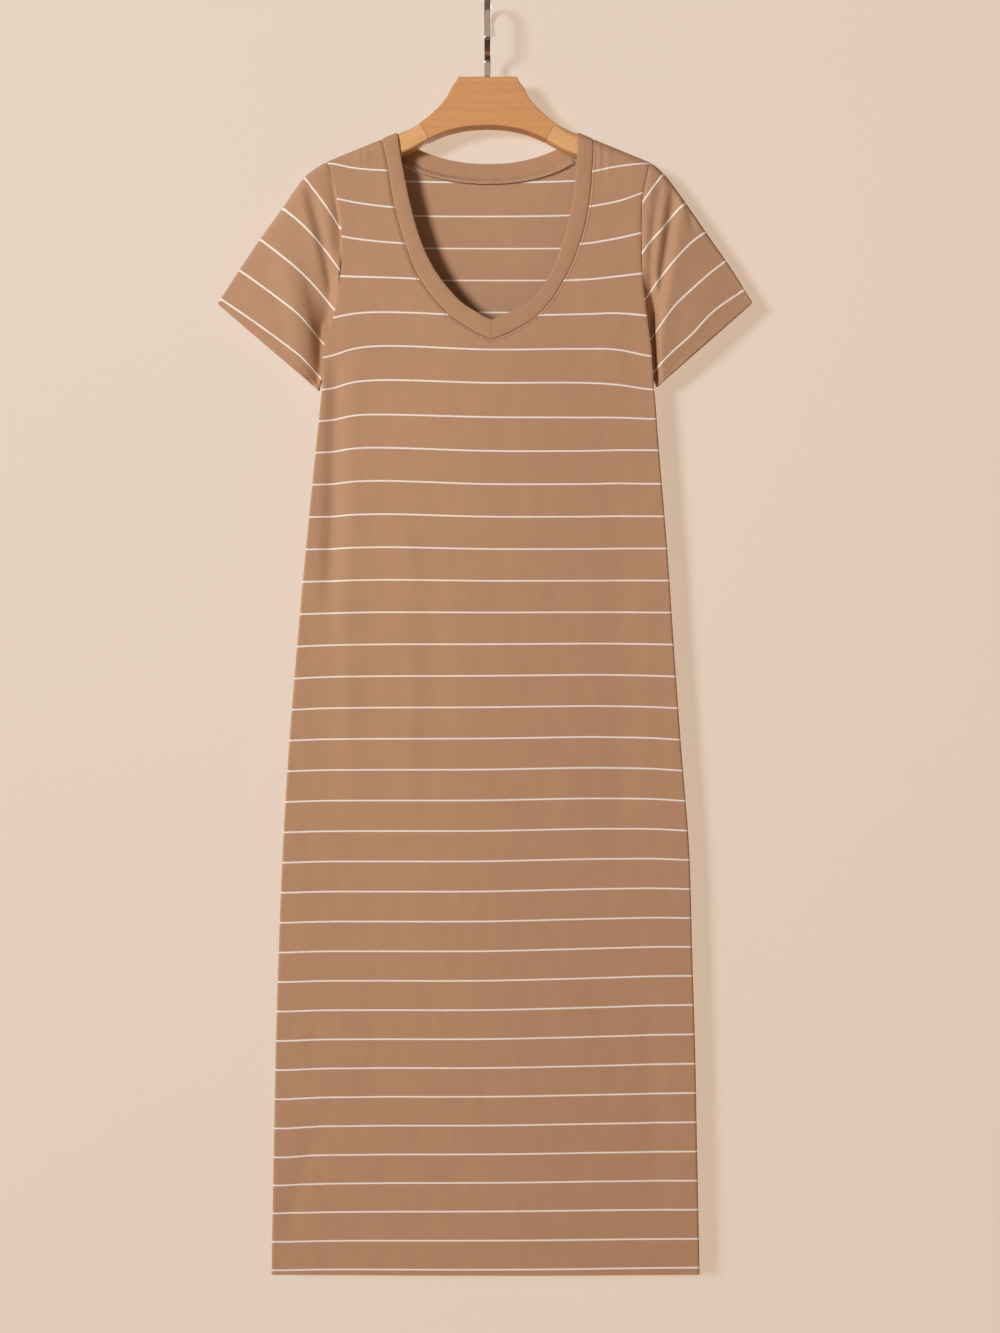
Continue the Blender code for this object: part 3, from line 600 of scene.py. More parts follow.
def crease_relief(creases, x, z):
    """How far the folds of one face push the cloth out at each place."""
    total = np.zeros_like(x)
    for fold in creases:
        chord = np.array([fold.low_x - fold.top_x, fold.low - fold.top])
        length = np.hypot(*chord)
        chord /= length
        share = ((x - fold.top_x) * chord[0] + (z - fold.top) * chord[1]) / length
        away = (z - fold.top) * chord[0] - (x - fold.top_x) * chord[1]
        away -= 4 * fold.bow * share * (1 - share)
        flank = np.where(away < 0, fold.left, fold.right)
        ends = smooth(share / CREASE_END) * smooth((1 - share) / CREASE_END)
        total += fold.depth * ends * np.exp(-((away / flank) ** 2))
    return total


def sway_relief(x, z):
    total = np.zeros_like(x)
    for sway in SWAYS:
        total += sway.height * np.sin(x / sway.across + z / sway.down + sway.turn)
    return total


def body_point(face, x, z, inset):
    """Places of the front or back over (x, z), moved into the wall by the inset."""
    side = np.where(x >= 0, 1.0, -1.0)
    width = by_side(x, SECTIONS, z)
    corner = SIDE_ROUND_SHARE * width
    into = width - np.abs(x)
    drop = shoulder_height(x) - z
    across = np.cos(0.5 * np.pi * np.minimum(np.abs(x) / width, 1.0)) ** 2
    depth = mix(read(SECTIONS, "side", z), read(SECTIONS, "middle", z), across)
    calm = smooth((drop - CALM_FROM) / CALM_OVER)
    depth += crease_relief(BODY_CREASES[face], x, z) + sway_relief(x, face * z) * calm - inset
    y = SEAM_GAP / 2 + depth * round_over(into / corner) * round_over(drop / SHOULDER_ROUND)

    def shrunk(distance, radius):
        return np.where(
            distance < radius, distance * (radius - inset) / radius, distance - inset
        )

    inner_x = side * (width - inset - shrunk(into, corner))
    inner_z = shoulder_height(x) - inset - shrunk(drop, SHOULDER_ROUND)
    return np.stack([inner_x, face * y, inner_z], axis=-1)


def stripe_index(face, x, z):
    """Which stripe of the body each place lies on, as a number with a fraction."""
    a, b = STRIPE_PITCH, STRIPE_SPREAD
    stripes, *rises = RISES[face].T

    def plain(height):
        return (-a + np.sqrt(np.maximum(a * a + 4 * b * (height - STRIPE_FIRST), 1.0))) / (2 * b)

    index = plain(z)
    for _ in range(4):
        levels = [curve(stripes, rise, index) for rise in rises]
        index = plain(z - curve(STRIPE_PLACES, levels, x))
    return index


def sleeve_stripe_index(side, x, z):
    """Which stripe of the sleeve each place lies on."""
    heights = np.stack([
        curve(SLEEVE_PLACES[side], row, np.abs(x)) for row in SLEEVE_STRIPES[side]
    ])
    i = np.clip((heights <= z).sum(axis=0) - 1, 0, len(heights) - 2)
    low, high = pick(heights, i), pick(heights, i + 1)
    return i + (z - low) / (high - low)


# ================================================================ meshes
def link(name, data):
    made = bpy.data.objects.new(name, data)
    bpy.context.scene.collection.objects.link(made)
    return made


def ringed(count, wide):
    """Point numbers of rings, with each ring's first point again at its end."""
    index = np.arange(count * wide).reshape(count, wide)
    return np.concatenate([index, index[:, :1]], axis=1)


def grid_quads(index, flip):
    """Quads between neighbouring rows and columns of an array of point numbers."""
    quads = np.stack(
        [index[:-1, :-1], index[:-1, 1:], index[1:, 1:], index[1:, :-1]], axis=-1
    ).reshape(-1, 4)
    return quads[:, ::-1] if flip else quads


def lay_flat(mesh, places):
    """Gives each point its place on the flat cloth."""
    corners = np.empty(len(mesh.loops), np.int32)
    mesh.loops.foreach_get("vertex_index", corners)
    flat = mesh.uv_layers.new(name="cloth")
    flat.data.foreach_set("uv", (places[corners] * MM).astype(np.float32).ravel())


def shell_object(name, outer, inner, quads, stripe, cloth, material):
    """A closed cloth wall between two matching surfaces, its open edges rimmed.

    stripe and cloth are each point's stripe number and its place on the flat cloth.
    """
    used, numbers = np.unique(quads, return_inverse=True)
    quads = numbers.reshape(quads.shape)
    count = len(used)
    ends = np.concatenate([quads[:, [i, (i + 1) % 4]] for i in range(4)])
    there, back = ends[:, 0] * count + ends[:, 1], ends[:, 1] * count + ends[:, 0]
    rim = ends[~np.isin(there, back)]
    walls = np.stack([rim[:, 1], rim[:, 0], rim[:, 0] + count, rim[:, 1] + count], axis=-1)
    faces = np.concatenate([quads, quads[:, ::-1] + count, walls])
    points = np.concatenate([outer[used], inner[used]]) * MM
    mesh = bpy.data.meshes.new(name)
    mesh.from_pydata(points.tolist(), [], faces.tolist())
    number = mesh.attributes.new("stripe", "FLOAT", "POINT")
    number.data.foreach_set("value", np.tile(stripe[used], 2).astype(np.float32))
    lay_flat(mesh, np.tile(cloth[used], (2, 1)))
    mesh.shade_smooth()
    mesh.materials.append(material)
    return link(name, mesh)


def closed_object(name, work, sharp, material):
    """The object of a closed bmesh, shaded smooth between corners sharper than an angle."""
    bmesh.ops.recalc_face_normals(work, faces=work.faces)
    mesh = bpy.data.meshes.new(name)
    work.to_mesh(mesh)
    work.free()
    mesh.shade_smooth()
    mesh.set_sharp_from_angle(angle=math.radians(sharp))
    mesh.materials.append(material)
    return link(name, mesh)


def tube_object(name, rings, material):
    """A solid through closed rings of equal length."""
    rings = np.asarray(rings, float) * MM
    index = ringed(*rings.shape[:2])
    caps = [index[0, :-1].tolist(), index[-1, :-1][::-1].tolist()]
    mesh = bpy.data.meshes.new(name)
    mesh.from_pydata(rings.reshape(-1, 3).tolist(), [], grid_quads(index, False).tolist() + caps)
    work = bmesh.new()
    work.from_mesh(mesh)
    bpy.data.meshes.remove(mesh)
    return closed_object(name, work, SHARP_TUBE, material)


def finished(made):
    """The object with its modifiers worked into a plain mesh."""
    graph = bpy.context.evaluated_depsgraph_get()
    mesh = bpy.data.meshes.new_from_object(made.evaluated_get(graph))
    mesh.name = made.name
    made.modifiers.clear()
    made.data = mesh
    return made


def hand_over(piece, slot, *nodes):
    """Ties the piece to the body that it rides on and hides the frame's nodes that it stands for;
    the slot is not used.
    """
    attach(piece, BODY)
    if nodes:
        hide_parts(*nodes)


# ================================================================ panels
def split_steps(rows):
    """Heights down the neckline close enough together for its curve, lowest first."""
    heights = []
    for low, high in zip(rows, rows[1:]):
        reach = math.hypot(high.seam - low.seam, high.seam_right - low.seam_right)
        steps = max(2, math.ceil(reach / CLOTH_STEP))
        heights += [mix(low.seam, high.seam, i / steps) for i in range(steps)]
    return [height for height in heights if height < rows[-1].seam - SHOULDER_ROUND - 1.0]


def neck_rows(face):
    """Rows through the neckline, with each one's drop below the shoulder line or NaN."""
    rows = NECKS[face]
    heights = split_steps(rows)
    turns = np.linspace(90.0, 0.0, SHOULDER_TURNS)
    drops = SHOULDER_ROUND * (1 - np.cos(np.radians(turns)))
    seam = np.concatenate([heights, rows[-1].seam - drops])
    row = {name: read(rows, name, seam) for name in NECK_COLUMNS.split()[1:]}
    row["arm"][len(heights):] = ARMHOLE[-1].height - drops
    drop = np.concatenate([np.full(len(heights), np.nan), drops])
    return row | {"seam": seam, "drop": drop}


def hang_from_shoulder(x, z, drop):
    """Heights of points, at their own or at their drop below the shoulder line."""
    return np.where(np.isnan(drop), z, shoulder_height(x) - drop)


def panel_rows(face):
    """Ends of every row of a panel: at the outer edge, and in the middle for each side."""
    neck = neck_rows(face)
    hem = HEM_HEIGHT + np.array(HEM_STEPS)
    steps = math.ceil((UNDERARM_HEIGHT - hem[-1]) / CLOTH_STEP)
    skirt = np.concatenate([hem[:-1], np.linspace(hem[-1], UNDERARM_HEIGHT, steps + 1)])
    first = neck["seam"][0]
    steps = math.ceil((first - UNDERARM_HEIGHT) / CLOTH_STEP)
    share = np.linspace(0, 1, steps + 1)[1:-1]
    centre = np.concatenate([np.zeros(len(skirt)), neck["seam_left"][0] * share])
    beside = mix(UNDERARM_HEIGHT, neck["arm"][0], share)
    between = mix(UNDERARM_HEIGHT, first, share)
    rows = {
        "arm": np.concatenate([skirt, beside, neck["arm"]]),
        "middle": np.concatenate([skirt, between, neck["seam"]]),
        "left": np.concatenate([centre, neck["seam_left"]]),
        "right": np.concatenate([centre, neck["seam_right"]]),
        "drop": np.concatenate([np.full(len(centre), np.nan), neck["drop"]]),
    }
    return rows, len(centre), len(skirt) - 1


def row_ends(rows, side, underarm):
    """Outer and middle ends of each row of one side, as (x, z) arrays."""
    arm, drop, middle = rows["arm"], rows["drop"], rows[SIDE_NAMES[side]]
    sign = np.full_like(arm, side)
    above = np.arange(len(arm)) > underarm
    edge = side * np.where(above, by_side(sign, ARMHOLE, arm), by_side(sign, SECTIONS, arm))
    arm_z = hang_from_shoulder(edge, arm, drop)
    return edge, arm_z, middle, hang_from_shoulder(middle, rows["middle"], drop)


def column_shares(length, crowd):
    """Shares of the way along rows of these lengths, close together beside each seam.

    crowd says for each row how far the points crowd at the middle end, from 0 to 1.
    """
    edge = np.array(EDGE_STEPS)
    length = length[:, None]
    start = np.minimum(edge / length, edge / edge[-1] * EDGE_SHARE)
    count = INNER_COLUMNS + len(edge)
    even = mix(start[:, -1:], 1.0, np.arange(1, count + 1) / count)
    stop = 1 - np.minimum(edge[::-1] / length, edge[::-1] / edge[-1] * EDGE_SHARE)
    inner = np.arange(1, INNER_COLUMNS + 1) / (INNER_COLUMNS + 1)
    body = mix(start[:, -1:], stop[:, :1], inner)
    crowded = np.concatenate([body, stop], axis=1)
    return np.concatenate([start, mix(even, crowded, crowd[:, None])], axis=1)


def seam_roll(distance, depth, width):
    """How far the cloth is drawn in towards a seam, at distances from it."""
    return depth * (1 - smooth(distance / width))


def wall_insets(to_edge, to_fold, roll):
    """Insets of the wall's two surfaces, from the distances to an edge and the hem's fold.

    Edges round over, the hem's stitching pulls in, and roll draws in the whole wall.
    """
    wall = np.where(to_fold <= HEM_TURNING + 0.5, HEM_WALL, JERSEY)
    radius = LIP_SHARE * wall
    sink = radius * (1 - round_over(to_edge / radius))
    groove = sum(np.exp(-(((to_fold - row) / STITCH_WIDTH) ** 2)) for row in STITCH_ROWS)
    groove = np.where(to_fold < 2 * HEM_TURNING, STITCH_SINK * groove, 0.0)
    return sink + groove + roll, wall - sink + roll


def make_panel(name, face, material):
    rows, split, underarm = panel_rows(face)
    count = len(rows["arm"])
    crowd = smooth((np.arange(count) - split + CROWD_ROWS) / CROWD_ROWS)
    above_underarm = np.arange(count)[:, None] > underarm
    above_split = np.arange(count)[:, None] > split
    halves = []
    for side in (LEFT, RIGHT):
        arm_x, arm_z, mid_x, mid_z = (end[:, None] for end in row_ends(rows, side, underarm))
        length = np.hypot(arm_x - mid_x, arm_z - mid_z)
        share = column_shares(length[:, 0], crowd)
        x, z = mix(arm_x, mid_x, share), mix(arm_z, mid_z, share)
        height = z - HEM_HEIGHT
        to_arm, to_neck = share * length, (1 - share) * length
        edge = np.where(above_underarm, np.minimum(height, to_arm + LIP_SKIP), height)
        edge = np.where(above_split, np.minimum(edge, to_neck), edge)
        at_arm = seam_roll(to_arm, BODY_ROLL[side], ARMHOLE_ROLL_WIDTH)
        at_neck = seam_roll(to_neck, NECK_ROLL, NECK_ROLL_WIDTH)
        roll = np.where(above_underarm, at_arm, 0.0) + np.where(above_split, at_neck, 0.0)
        outer, inner = (body_point(face, x, z, inset) for inset in wall_insets(edge, height, roll))
        halves.append((outer, inner, stripe_index(face, x, z), np.stack([x, z], axis=-1)))
    wide = x.shape[1]
    left = np.arange(count * wide).reshape(count, wide)
    right = left + count * wide
    right[: split + 1, -1] = left[: split + 1, -1]
    away = face == BACK
    quads = np.concatenate([grid_quads(left, away), grid_quads(right, not away)])
    outer, inner, stripe, cloth = (
        np.concatenate([a.reshape(count * wide, -1) for a in pair]) for pair in zip(*halves)
    )
    return shell_object(name, outer, inner, quads, stripe.ravel(), cloth, material)


class DRESS_OT_panels(Operator):
    """Make the front and the back of the dress, down to their turned hem"""

    bl_idname = "dress.panels"
    bl_label = "Front and Back"

    def execute(self, context):
        jersey = jersey_finish("jersey_striped", context.scene.dress_cloth, striped=True)
        front = make_panel("front_panel_cloth", FRONT, jersey)
        back = make_panel("back_panel_cloth", BACK, jersey)
        hand_over(front, "jersey", "front_panel")
        hand_over(back, "jersey", "back_panel")
        return {"FINISHED"}


# ================================================================ neckband
def neck_stations(side):
    """(face, seam, edge) round one side of the neck, from the V to the back's middle."""
    stations = []
    for face in (FRONT, BACK):
        row = neck_rows(face)
        ends = []
        for line in ("seam", "edge"):
            x = row[f"{line}_{SIDE_NAMES[side]}"]
            ends.append(np.stack([x, hang_from_shoulder(x, row[line], row["drop"])], axis=-1))
        part = [(face if drop else 0, *pair) for drop, *pair in zip(row["drop"], *ends)]
        stations += part if face == FRONT else part[-2::-1]
    return stations


def neck_path():
    """Stations from the point of the V, up the left, behind the neck and down the right."""
    return neck_stations(LEFT) + neck_stations(RIGHT)[-2::-1]


def beside_neck(station, across, inset):
    """Points at distances from the neck's seam towards the band's edge, set into the cloth."""
    face, seam, edge = station
    place = seam + np.reshape(across, (-1, 1)) * ((edge - seam) / np.hypot(*(edge - seam)))
    insets = np.broadcast_to(np.asarray(inset, float), len(place))
    points = body_point(face or FRONT, place[:, 0], place[:, 1], insets)
    if face == 0:
        points[:, 1] = 0.0
    return points


def swept_section(stations, section, deeper):
    """Rings of a section carried round the neck; deeper adds to each ring's inset."""
    at, inset = np.array(section).T
    rings = []
    for station, extra in zip(stations, deeper):
        width = np.hypot(*(station[2] - station[1]))
        across = np.where(at >= 0, at, width + at) + SEAM_GAP
        rings.append(beside_neck(station, np.minimum(across, width - 0.01), inset + extra))
    return rings


def mitred(stations):
    """The stations with closer ones beside the mitre, and how deep each one rolls in."""
    away = np.array([SEAM_GAP / 2, 0.25, 0.5, MITRE_ROUND, 2 * MITRE_ROUND])
    depth = MITRE_SINK * (1 - round_over((away - SEAM_GAP / 2) / MITRE_ROUND))

    def closer(end, following):
        (face, seam, edge), (_, next_seam, next_edge) = end, following
        shares = away / np.hypot(*(next_seam - seam))
        return [(face, mix(seam, next_seam, s), mix(edge, next_edge, s)) for s in shares]

    first, last = closer(*stations[:2]), closer(*stations[:-3:-1])[::-1]
    sink = np.concatenate([depth, np.zeros(len(stations) - 2), depth[::-1]])
    return first + stations[1:-1] + last, sink


def neck_tube(name, stations, section, deeper, material):
    """A strip of cloth with this section, carried round the neck."""
    made = tube_object(name, swept_section(stations, section, deeper), material)
    along = distances(np.array([mix(seam, edge, 0.5) for _, seam, edge in stations]))
    wide = len(section)
    across = np.tile(np.linspace(0, BAND_CUT, wide), len(stations))
    lay_flat(made.data, np.stack([np.repeat(along, wide), across], axis=-1))
    return made


class DRESS_OT_neckband(Operator):
    """Make the folded neckband, mitred at the point of the V"""

    bl_idname = "dress.neckband"
    bl_label = "Neckband"

    def execute(self, context):
        plain = jersey_finish("jersey_band", context.scene.dress_cloth, striped=False)
        stations, sink = mitred(neck_path())
        band = neck_tube("neckband_cloth", stations, BAND_SECTION, sink, plain)
        hand_over(band, "neckband_jersey", "neckband")
        return {"FINISHED"}


# ================================================================ sleeves
def armhole_ring(side):
    """The sewn end of the sleeve: down the front panel's edge and up the back one's."""
    parts = []
    for face in (FRONT, BACK):
        rows, _, underarm = panel_rows(face)
        x, z = (end[underarm:][::-1] for end in row_ends(rows, side, underarm)[:2])
        outer, inner = (body_point(face, x, z, np.full_like(x, inset)) for inset in (0.0, JERSEY))
        for ends in (outer, inner):
            ends[0, 1] = ends[-1, 1] = 0.0
        length = distances(outer[:, [0, 2]])
        part = slice(None) if face == FRONT else slice(-2, 0, -1)
        columns = (outer, inner, length / length[-1], np.full(len(length), face))
        parts.append([column[part] for column in columns])
    return [np.concatenate(pair) for pair in zip(*parts)]


def beside_seam(down, side):
    """The gap to the panel's edge: outwards, and upwards at the underarm."""
    share = np.clip((down - UNDERARM_TURN) / (1 - UNDERARM_TURN), 0, 1)
    turn = share * np.pi / 2
    gap = np.stack([side * np.cos(turn), np.zeros_like(turn), np.sin(turn)], axis=-1)
    return gap * SEAM_GAP


def sleeve_length(side, start):
    return 0.5 * (np.hypot(*(np.array(CUFF_TOP[side]) - start[0, [0, 2]])) + UNDERARM_LENGTH)


def sleeve_surface(side, start, down, faces, along):
    """Places of the sleeve's outer surface, as rings by points round them."""
    name, edge = SIDE_NAMES[side], np.minimum(down, 1 - down)
    top, low = np.array(CUFF_TOP[side]), np.array(CUFF_LOW[side])
    cuff = mix(top, low, down[:, None])
    share = along[:, None, None]
    place = mix(start[None][:, :, [0, 2]], cuff[None], share)
    shoulder = np.array([side * getattr(ARMHOLE[-1], name), ARMHOLE[-1].height])
    chord = (top - shoulder) / np.hypot(*(top - shoulder))
    outward = np.array([-chord[1], chord[0]]) * side
    head = read(SLEEVE_HEAD, name, along)
    place = place + outward * (head[:, None] * (1 - down) ** 2)[..., None]
    end = round_over(edge * np.hypot(*(low - top)) / CUFF_ROUND)
    middle = np.sin(np.pi * down)
    cuff_depth = mix(CUFF_END_HALF_DEPTH, CUFF_HALF_DEPTH, middle) * end
    depth = mix(np.abs(start[:, 1])[None], cuff_depth[None], smooth(along)[:, None])
    depth = depth + SLEEVE_PUFF * np.sin(np.pi * along)[:, None] * middle
    x, z = place[..., 0], place[..., 1]
    near_cuff = smooth((along - NEAR_CUFF) / NEAR_CUFF_OVER)[:, None]
    relief, limit = np.zeros_like(x), np.zeros_like(x)
    for face in (FRONT, BACK):
        folds = crease_relief(SLEEVE_CREASES[side][face], x, z) + sway_relief(x, face * z)
        relief = np.where(faces == face, folds, relief)
        nearest = mix(FOLD_LIMIT[face], CUFF_FOLD_LIMIT[face], near_cuff)
        limit = np.where(faces == face, nearest, limit)
    ease = smooth(along / RELIEF_FROM_SEAM)[:, None] * smooth(edge / RELIEF_FROM_FOLD)
    pressed, floor = depth + relief * ease, np.minimum(depth, limit)
    depth = 0.5 * (pressed + floor + np.sqrt((pressed - floor) ** 2 + FLOOR_SOFTNESS * ease))
    depth = np.where((down == 0.0) | (down == 1.0), 0.0, depth)
    points = np.stack([x, faces * depth, z], axis=-1)
    return points + beside_seam(down, side)[None] * (1 - share)


def surface_normals(points):
    """Unit normals of rings by points, outwards."""
    around = np.roll(points, -1, axis=1) - np.roll(points, 1, axis=1)
    normal = np.cross(around, np.gradient(points, axis=0))
    normal /= np.maximum(np.linalg.norm(normal, axis=-1, keepdims=True), 1e-9)
    centre = points.mean(axis=1, keepdims=True)
    return normal * np.sign(((points - centre) * normal).sum(axis=-1).mean())


def make_sleeve(side, material):
    outer_edge, inner_edge, down, faces = armhole_ring(side)
    length = sleeve_length(side, outer_edge)
    seam_steps, cuff_steps = np.array(EDGE_STEPS[:-1]) / length, 1 - np.array(CUFF_STEPS) / length
    middle = np.linspace(seam_steps[-1], cuff_steps[0], SLEEVE_STEPS)[1:-1]
    along = np.concatenate([seam_steps, middle, cuff_steps])
    surface = sleeve_surface(side, outer_edge, down, faces, along)
    normal = surface_normals(surface)
    from_seam, from_cuff = along * length, (1 - along) * length
    roll = seam_roll(from_seam, SLEEVE_ROLL[side], ARMHOLE_ROLL_WIDTH)
    outer, inner = (
        surface - normal * inset[:, None, None]
        for inset in wall_insets(np.minimum(from_seam + LIP_SKIP, from_cuff), from_cuff, roll)
    )
    inner[0] = inner_edge + beside_seam(down, side) - normal[0] * roll[0]
    quads = grid_quads(ringed(*surface.shape[:2]), side == LEFT)
    stripe = sleeve_stripe_index(side, surface[..., 0], surface[..., 2])
    round_cuff = distances(surface[-1][:, [0, 2]])
    cloth = np.stack(np.broadcast_arrays(round_cuff[None], from_seam[:, None]), axis=-1)
    return shell_object(
        f"sleeve_{SIDE_NAMES[side]}_cloth", outer.reshape(-1, 3), inner.reshape(-1, 3),
        quads, stripe.ravel(), cloth.reshape(-1, 2), material,
    )


class DRESS_OT_sleeves(Operator):
    """Make the two short sleeves, with their folds beside the armholes"""

    bl_idname = "dress.sleeves"
    bl_label = "Sleeves"

    def execute(self, context):
        jersey = jersey_finish("jersey_sleeve", context.scene.dress_cloth, striped=True)
        for side in (LEFT, RIGHT):
            sleeve = make_sleeve(side, jersey)
            hand_over(sleeve, "jersey", f"sleeve_{SIDE_NAMES[side]}")
        return {"FINISHED"}


# ================================================================ sewing
def add_node(tree, kind, values, settings):
    """A new node. Settings are its own; values fill or link its inputs."""
    made = tree.nodes.new(kind)
    for key, value in settings.items():
        setattr(made, key, value)
    for key, value in values.items():
        if isinstance(value, bpy.types.NodeSocket):
            tree.links.new(value, made.inputs[key])
        else:
            made.inputs[key].default_value = value
    return made


def thread_tree(name):
    """Geometry nodes that lay one thread stitch after another along a line of edges."""
    tree = bpy.data.node_groups.new(name, "GeometryNodeTree")
    face, sockets = tree.interface, {}
    face.new_socket("Path", in_out="INPUT", socket_type="NodeSocketGeometry")
    for label, value in (("Pitch", 0.003), ("Length", 0.0026), ("Radius", 0.00026), ("Tilt", 0.0)):
        made = face.new_socket(label, in_out="INPUT", socket_type="NodeSocketFloat")
        made.default_value = value
        sockets[label] = made.identifier
    made = face.new_socket("Thread", in_out="INPUT", socket_type="NodeSocketMaterial")
    sockets["Thread"] = made.identifier
    face.new_socket("Stitches", in_out="OUTPUT", socket_type="NodeSocketGeometry")

    def node(kind, values, **settings):
        return add_node(tree, kind, values, settings).outputs

    given = node("NodeGroupInput", {})
    path = node("GeometryNodeMeshToCurve", {"Mesh": given["Path"]})[0]
    pitch = {"Curve": path, "Length": given["Pitch"]}
    spaced = node("GeometryNodeResampleCurve", pitch, mode="LENGTH")[0]
    half = node("ShaderNodeMath", {0: given["Length"], 1: 0.5}, operation="MULTIPLY")[0]
    bead = node("GeometryNodeMeshUVSphere", {"Segments": 7, "Rings": 5, "Radius": 1.0})["Mesh"]
    size = {"X": half, "Y": given["Radius"], "Z": given["Radius"]}
    shape = {
        "Geometry": bead,
        "Scale": node("ShaderNodeCombineXYZ", size)[0],
        "Rotation": node("ShaderNodeCombineXYZ", {"Y": given["Tilt"]})[0],
    }
    stitch = node("GeometryNodeTransform", shape)[0]
    tangent = {"Vector": node("GeometryNodeInputTangent", {})[0]}
    ahead = node("FunctionNodeAlignRotationToVector", tangent, axis="X")[0]
    level = {"Rotation": ahead, "Vector": (0.0, 1.0, 0.0)}
    square = node("FunctionNodeAlignRotationToVector", level, axis="Y", pivot_axis="X")[0]
    spread = {"Min": (0.92, 0.85, 0.85), "Max": (1.04, 1.1, 1.1), "Seed": 11}
    uneven = node("FunctionNodeRandomValue", spread, data_type="FLOAT_VECTOR")[0]
    places = {"Points": spaced, "Instance": stitch, "Rotation": square, "Scale": uneven}
    placed = node("GeometryNodeInstanceOnPoints", places)[0]
    real = node("GeometryNodeRealizeInstances", {"Geometry": placed})[0]
    soft = node("GeometryNodeSetShadeSmooth", {"Geometry": real})[0]
    painted = node("GeometryNodeSetMaterial", {"Geometry": soft, "Material": given["Thread"]})[0]
    node("NodeGroupOutput", {0: painted})
    return tree, sockets


def sew(name, lines, threads, material, pitch, length, radius, tilt=0.0):
    """Stitches along several lines of points, as one plain mesh."""
    tree, sockets = threads
    edges = []
    for line in lines:
        first = edges[-1][1] + 1 if edges else 0
        edges += [(first + i, first + i + 1) for i in range(len(line) - 1)]
    mesh = bpy.data.meshes.new(name)
    mesh.from_pydata((np.concatenate(lines) * MM).tolist(), edges, [])
    made = link(name, mesh)
    sewing = made.modifiers.new("stitches", "NODES")
    sewing.node_group = tree
    values = {"Pitch": pitch, "Length": length, "Radius": radius, "Tilt": tilt, "Thread": material}
    for label, value in values.items():
        sewing[sockets[label]] = value
    hand_over(finished(made), "jersey")


def hem_lines(height):
    """A line round the skirt at a height above its fold, on the outside of the cloth."""
    z = HEM_HEIGHT + height
    left, right = by_side(np.array([-1.0, 1.0]), SECTIONS, np.full(2, z))
    x = np.linspace(HEM_LINE_END - left, right - HEM_LINE_END, HEM_LINE_POINTS)
    inset = np.full_like(x, THREAD_INSET)
    return [body_point(face, x, np.full_like(x, z), inset) for face in (FRONT, BACK)]


def cuff_line(side, height):
    """A line round a sleeve at a distance from its cuff's fold."""
    outer_edge, _, down, faces = armhole_ring(side)
    heights = height + np.array([CUFF_LINE_STEP, 0.0, -CUFF_LINE_STEP])
    along = 1 - heights / sleeve_length(side, outer_edge)
    surface = sleeve_surface(side, outer_edge, down, faces, along)
    line = (surface - surface_normals(surface) * THREAD_INSET)[1]
    return np.concatenate([line, line[:1]])


class DRESS_OT_hem_stitching(Operator):
    """Sew the twin rows of stitches round the hem and the cuffs"""

    bl_idname = "dress.hem_stitching"
    bl_label = "Hem and Cuff Stitching"

    def execute(self, context):
        settings = context.scene.dress_cloth
        thread = thread_finish("thread_hem", settings.jersey_colour, 1.4)
        threads = thread_tree("stitch_row")
        pitch, radius = settings.stitch_pitch, settings.thread_radius
        places = {
            "hem_stitching": [line for row in STITCH_ROWS for line in hem_lines(row)],
            "cuff_stitching_left": [cuff_line(LEFT, row) for row in STITCH_ROWS],
            "cuff_stitching_right": [cuff_line(RIGHT, row) for row in STITCH_ROWS],
        }
        for name, lines in places.items():
            sew(name, lines, threads, thread, pitch, STITCH_FILL * pitch, radius)
        return {"FINISHED"}


class DRESS_OT_neck_seam(Operator):
    """Overlock the seam allowance inside the back of the neck, and topstitch the seam"""

    bl_idname = "dress.neck_seam"
    bl_label = "Overlocked Neck Seam"

    def execute(self, context):
        settings = context.scene.dress_cloth
        back = [s for s in neck_path() if s[0] == BACK and abs(s[1][0]) < ALLOWANCE_END_X]
        reach = np.array([ALLOWANCE_END_X - abs(seam[0]) for _, seam, _ in back])
        flatter = -ALLOWANCE_THINNER * (1 - smooth(reach / ALLOWANCE_TAPER))
        plain = jersey_finish("jersey_allowance", settings, striped=False)
        strip = neck_tube("neck_seam_allowance", back, ALLOWANCE_SECTION, flatter, plain)
        hand_over(strip, "jersey")
        thread = thread_finish("thread_overlock", (0.5, 0.37, 0.28), 1.05)
        threads = thread_tree("overlock_row")
        for name, across, inset, tilt, length, pitch in OVERLOCK_ROWS:
            line = np.concatenate([
                beside_neck(station, across + SEAM_GAP, inset + extra)
                for station, extra in zip(back, flatter)
            ])
            radius = OVERLOCK_THREAD * settings.thread_radius
            sew(name, [line], threads, thread, pitch, length, radius, tilt)
        # Painted shade: the topstitch thread is darkened to 0.42 of the jersey's colour, so that
        # its row reads as a dark dotted line beside the seam.
        thread = thread_finish("thread_neck_painted_shade", settings.jersey_colour, 0.42)
        points = [beside_neck(s, -NECK_STITCH, NECK_STITCH_INSET) for s in neck_path()]
        sew(
            "neck_topstitching", [np.concatenate(points)], threads, thread,
            NECK_STITCH_PITCH, NECK_STITCH_LENGTH, NECK_THREAD * settings.thread_radius,
        )
        return {"FINISHED"}


# ================================================================ hanger
def wood_top(x):
    x = np.abs(x)
    carried = shoulder_height(x) - JERSEY - ARM_GAP
    return np.where(x >= CLOTH_FROM_X, carried, read(WOOD, "top", x))


def wood_bottom(x):
    return read(WOOD, "bottom", np.abs(x))


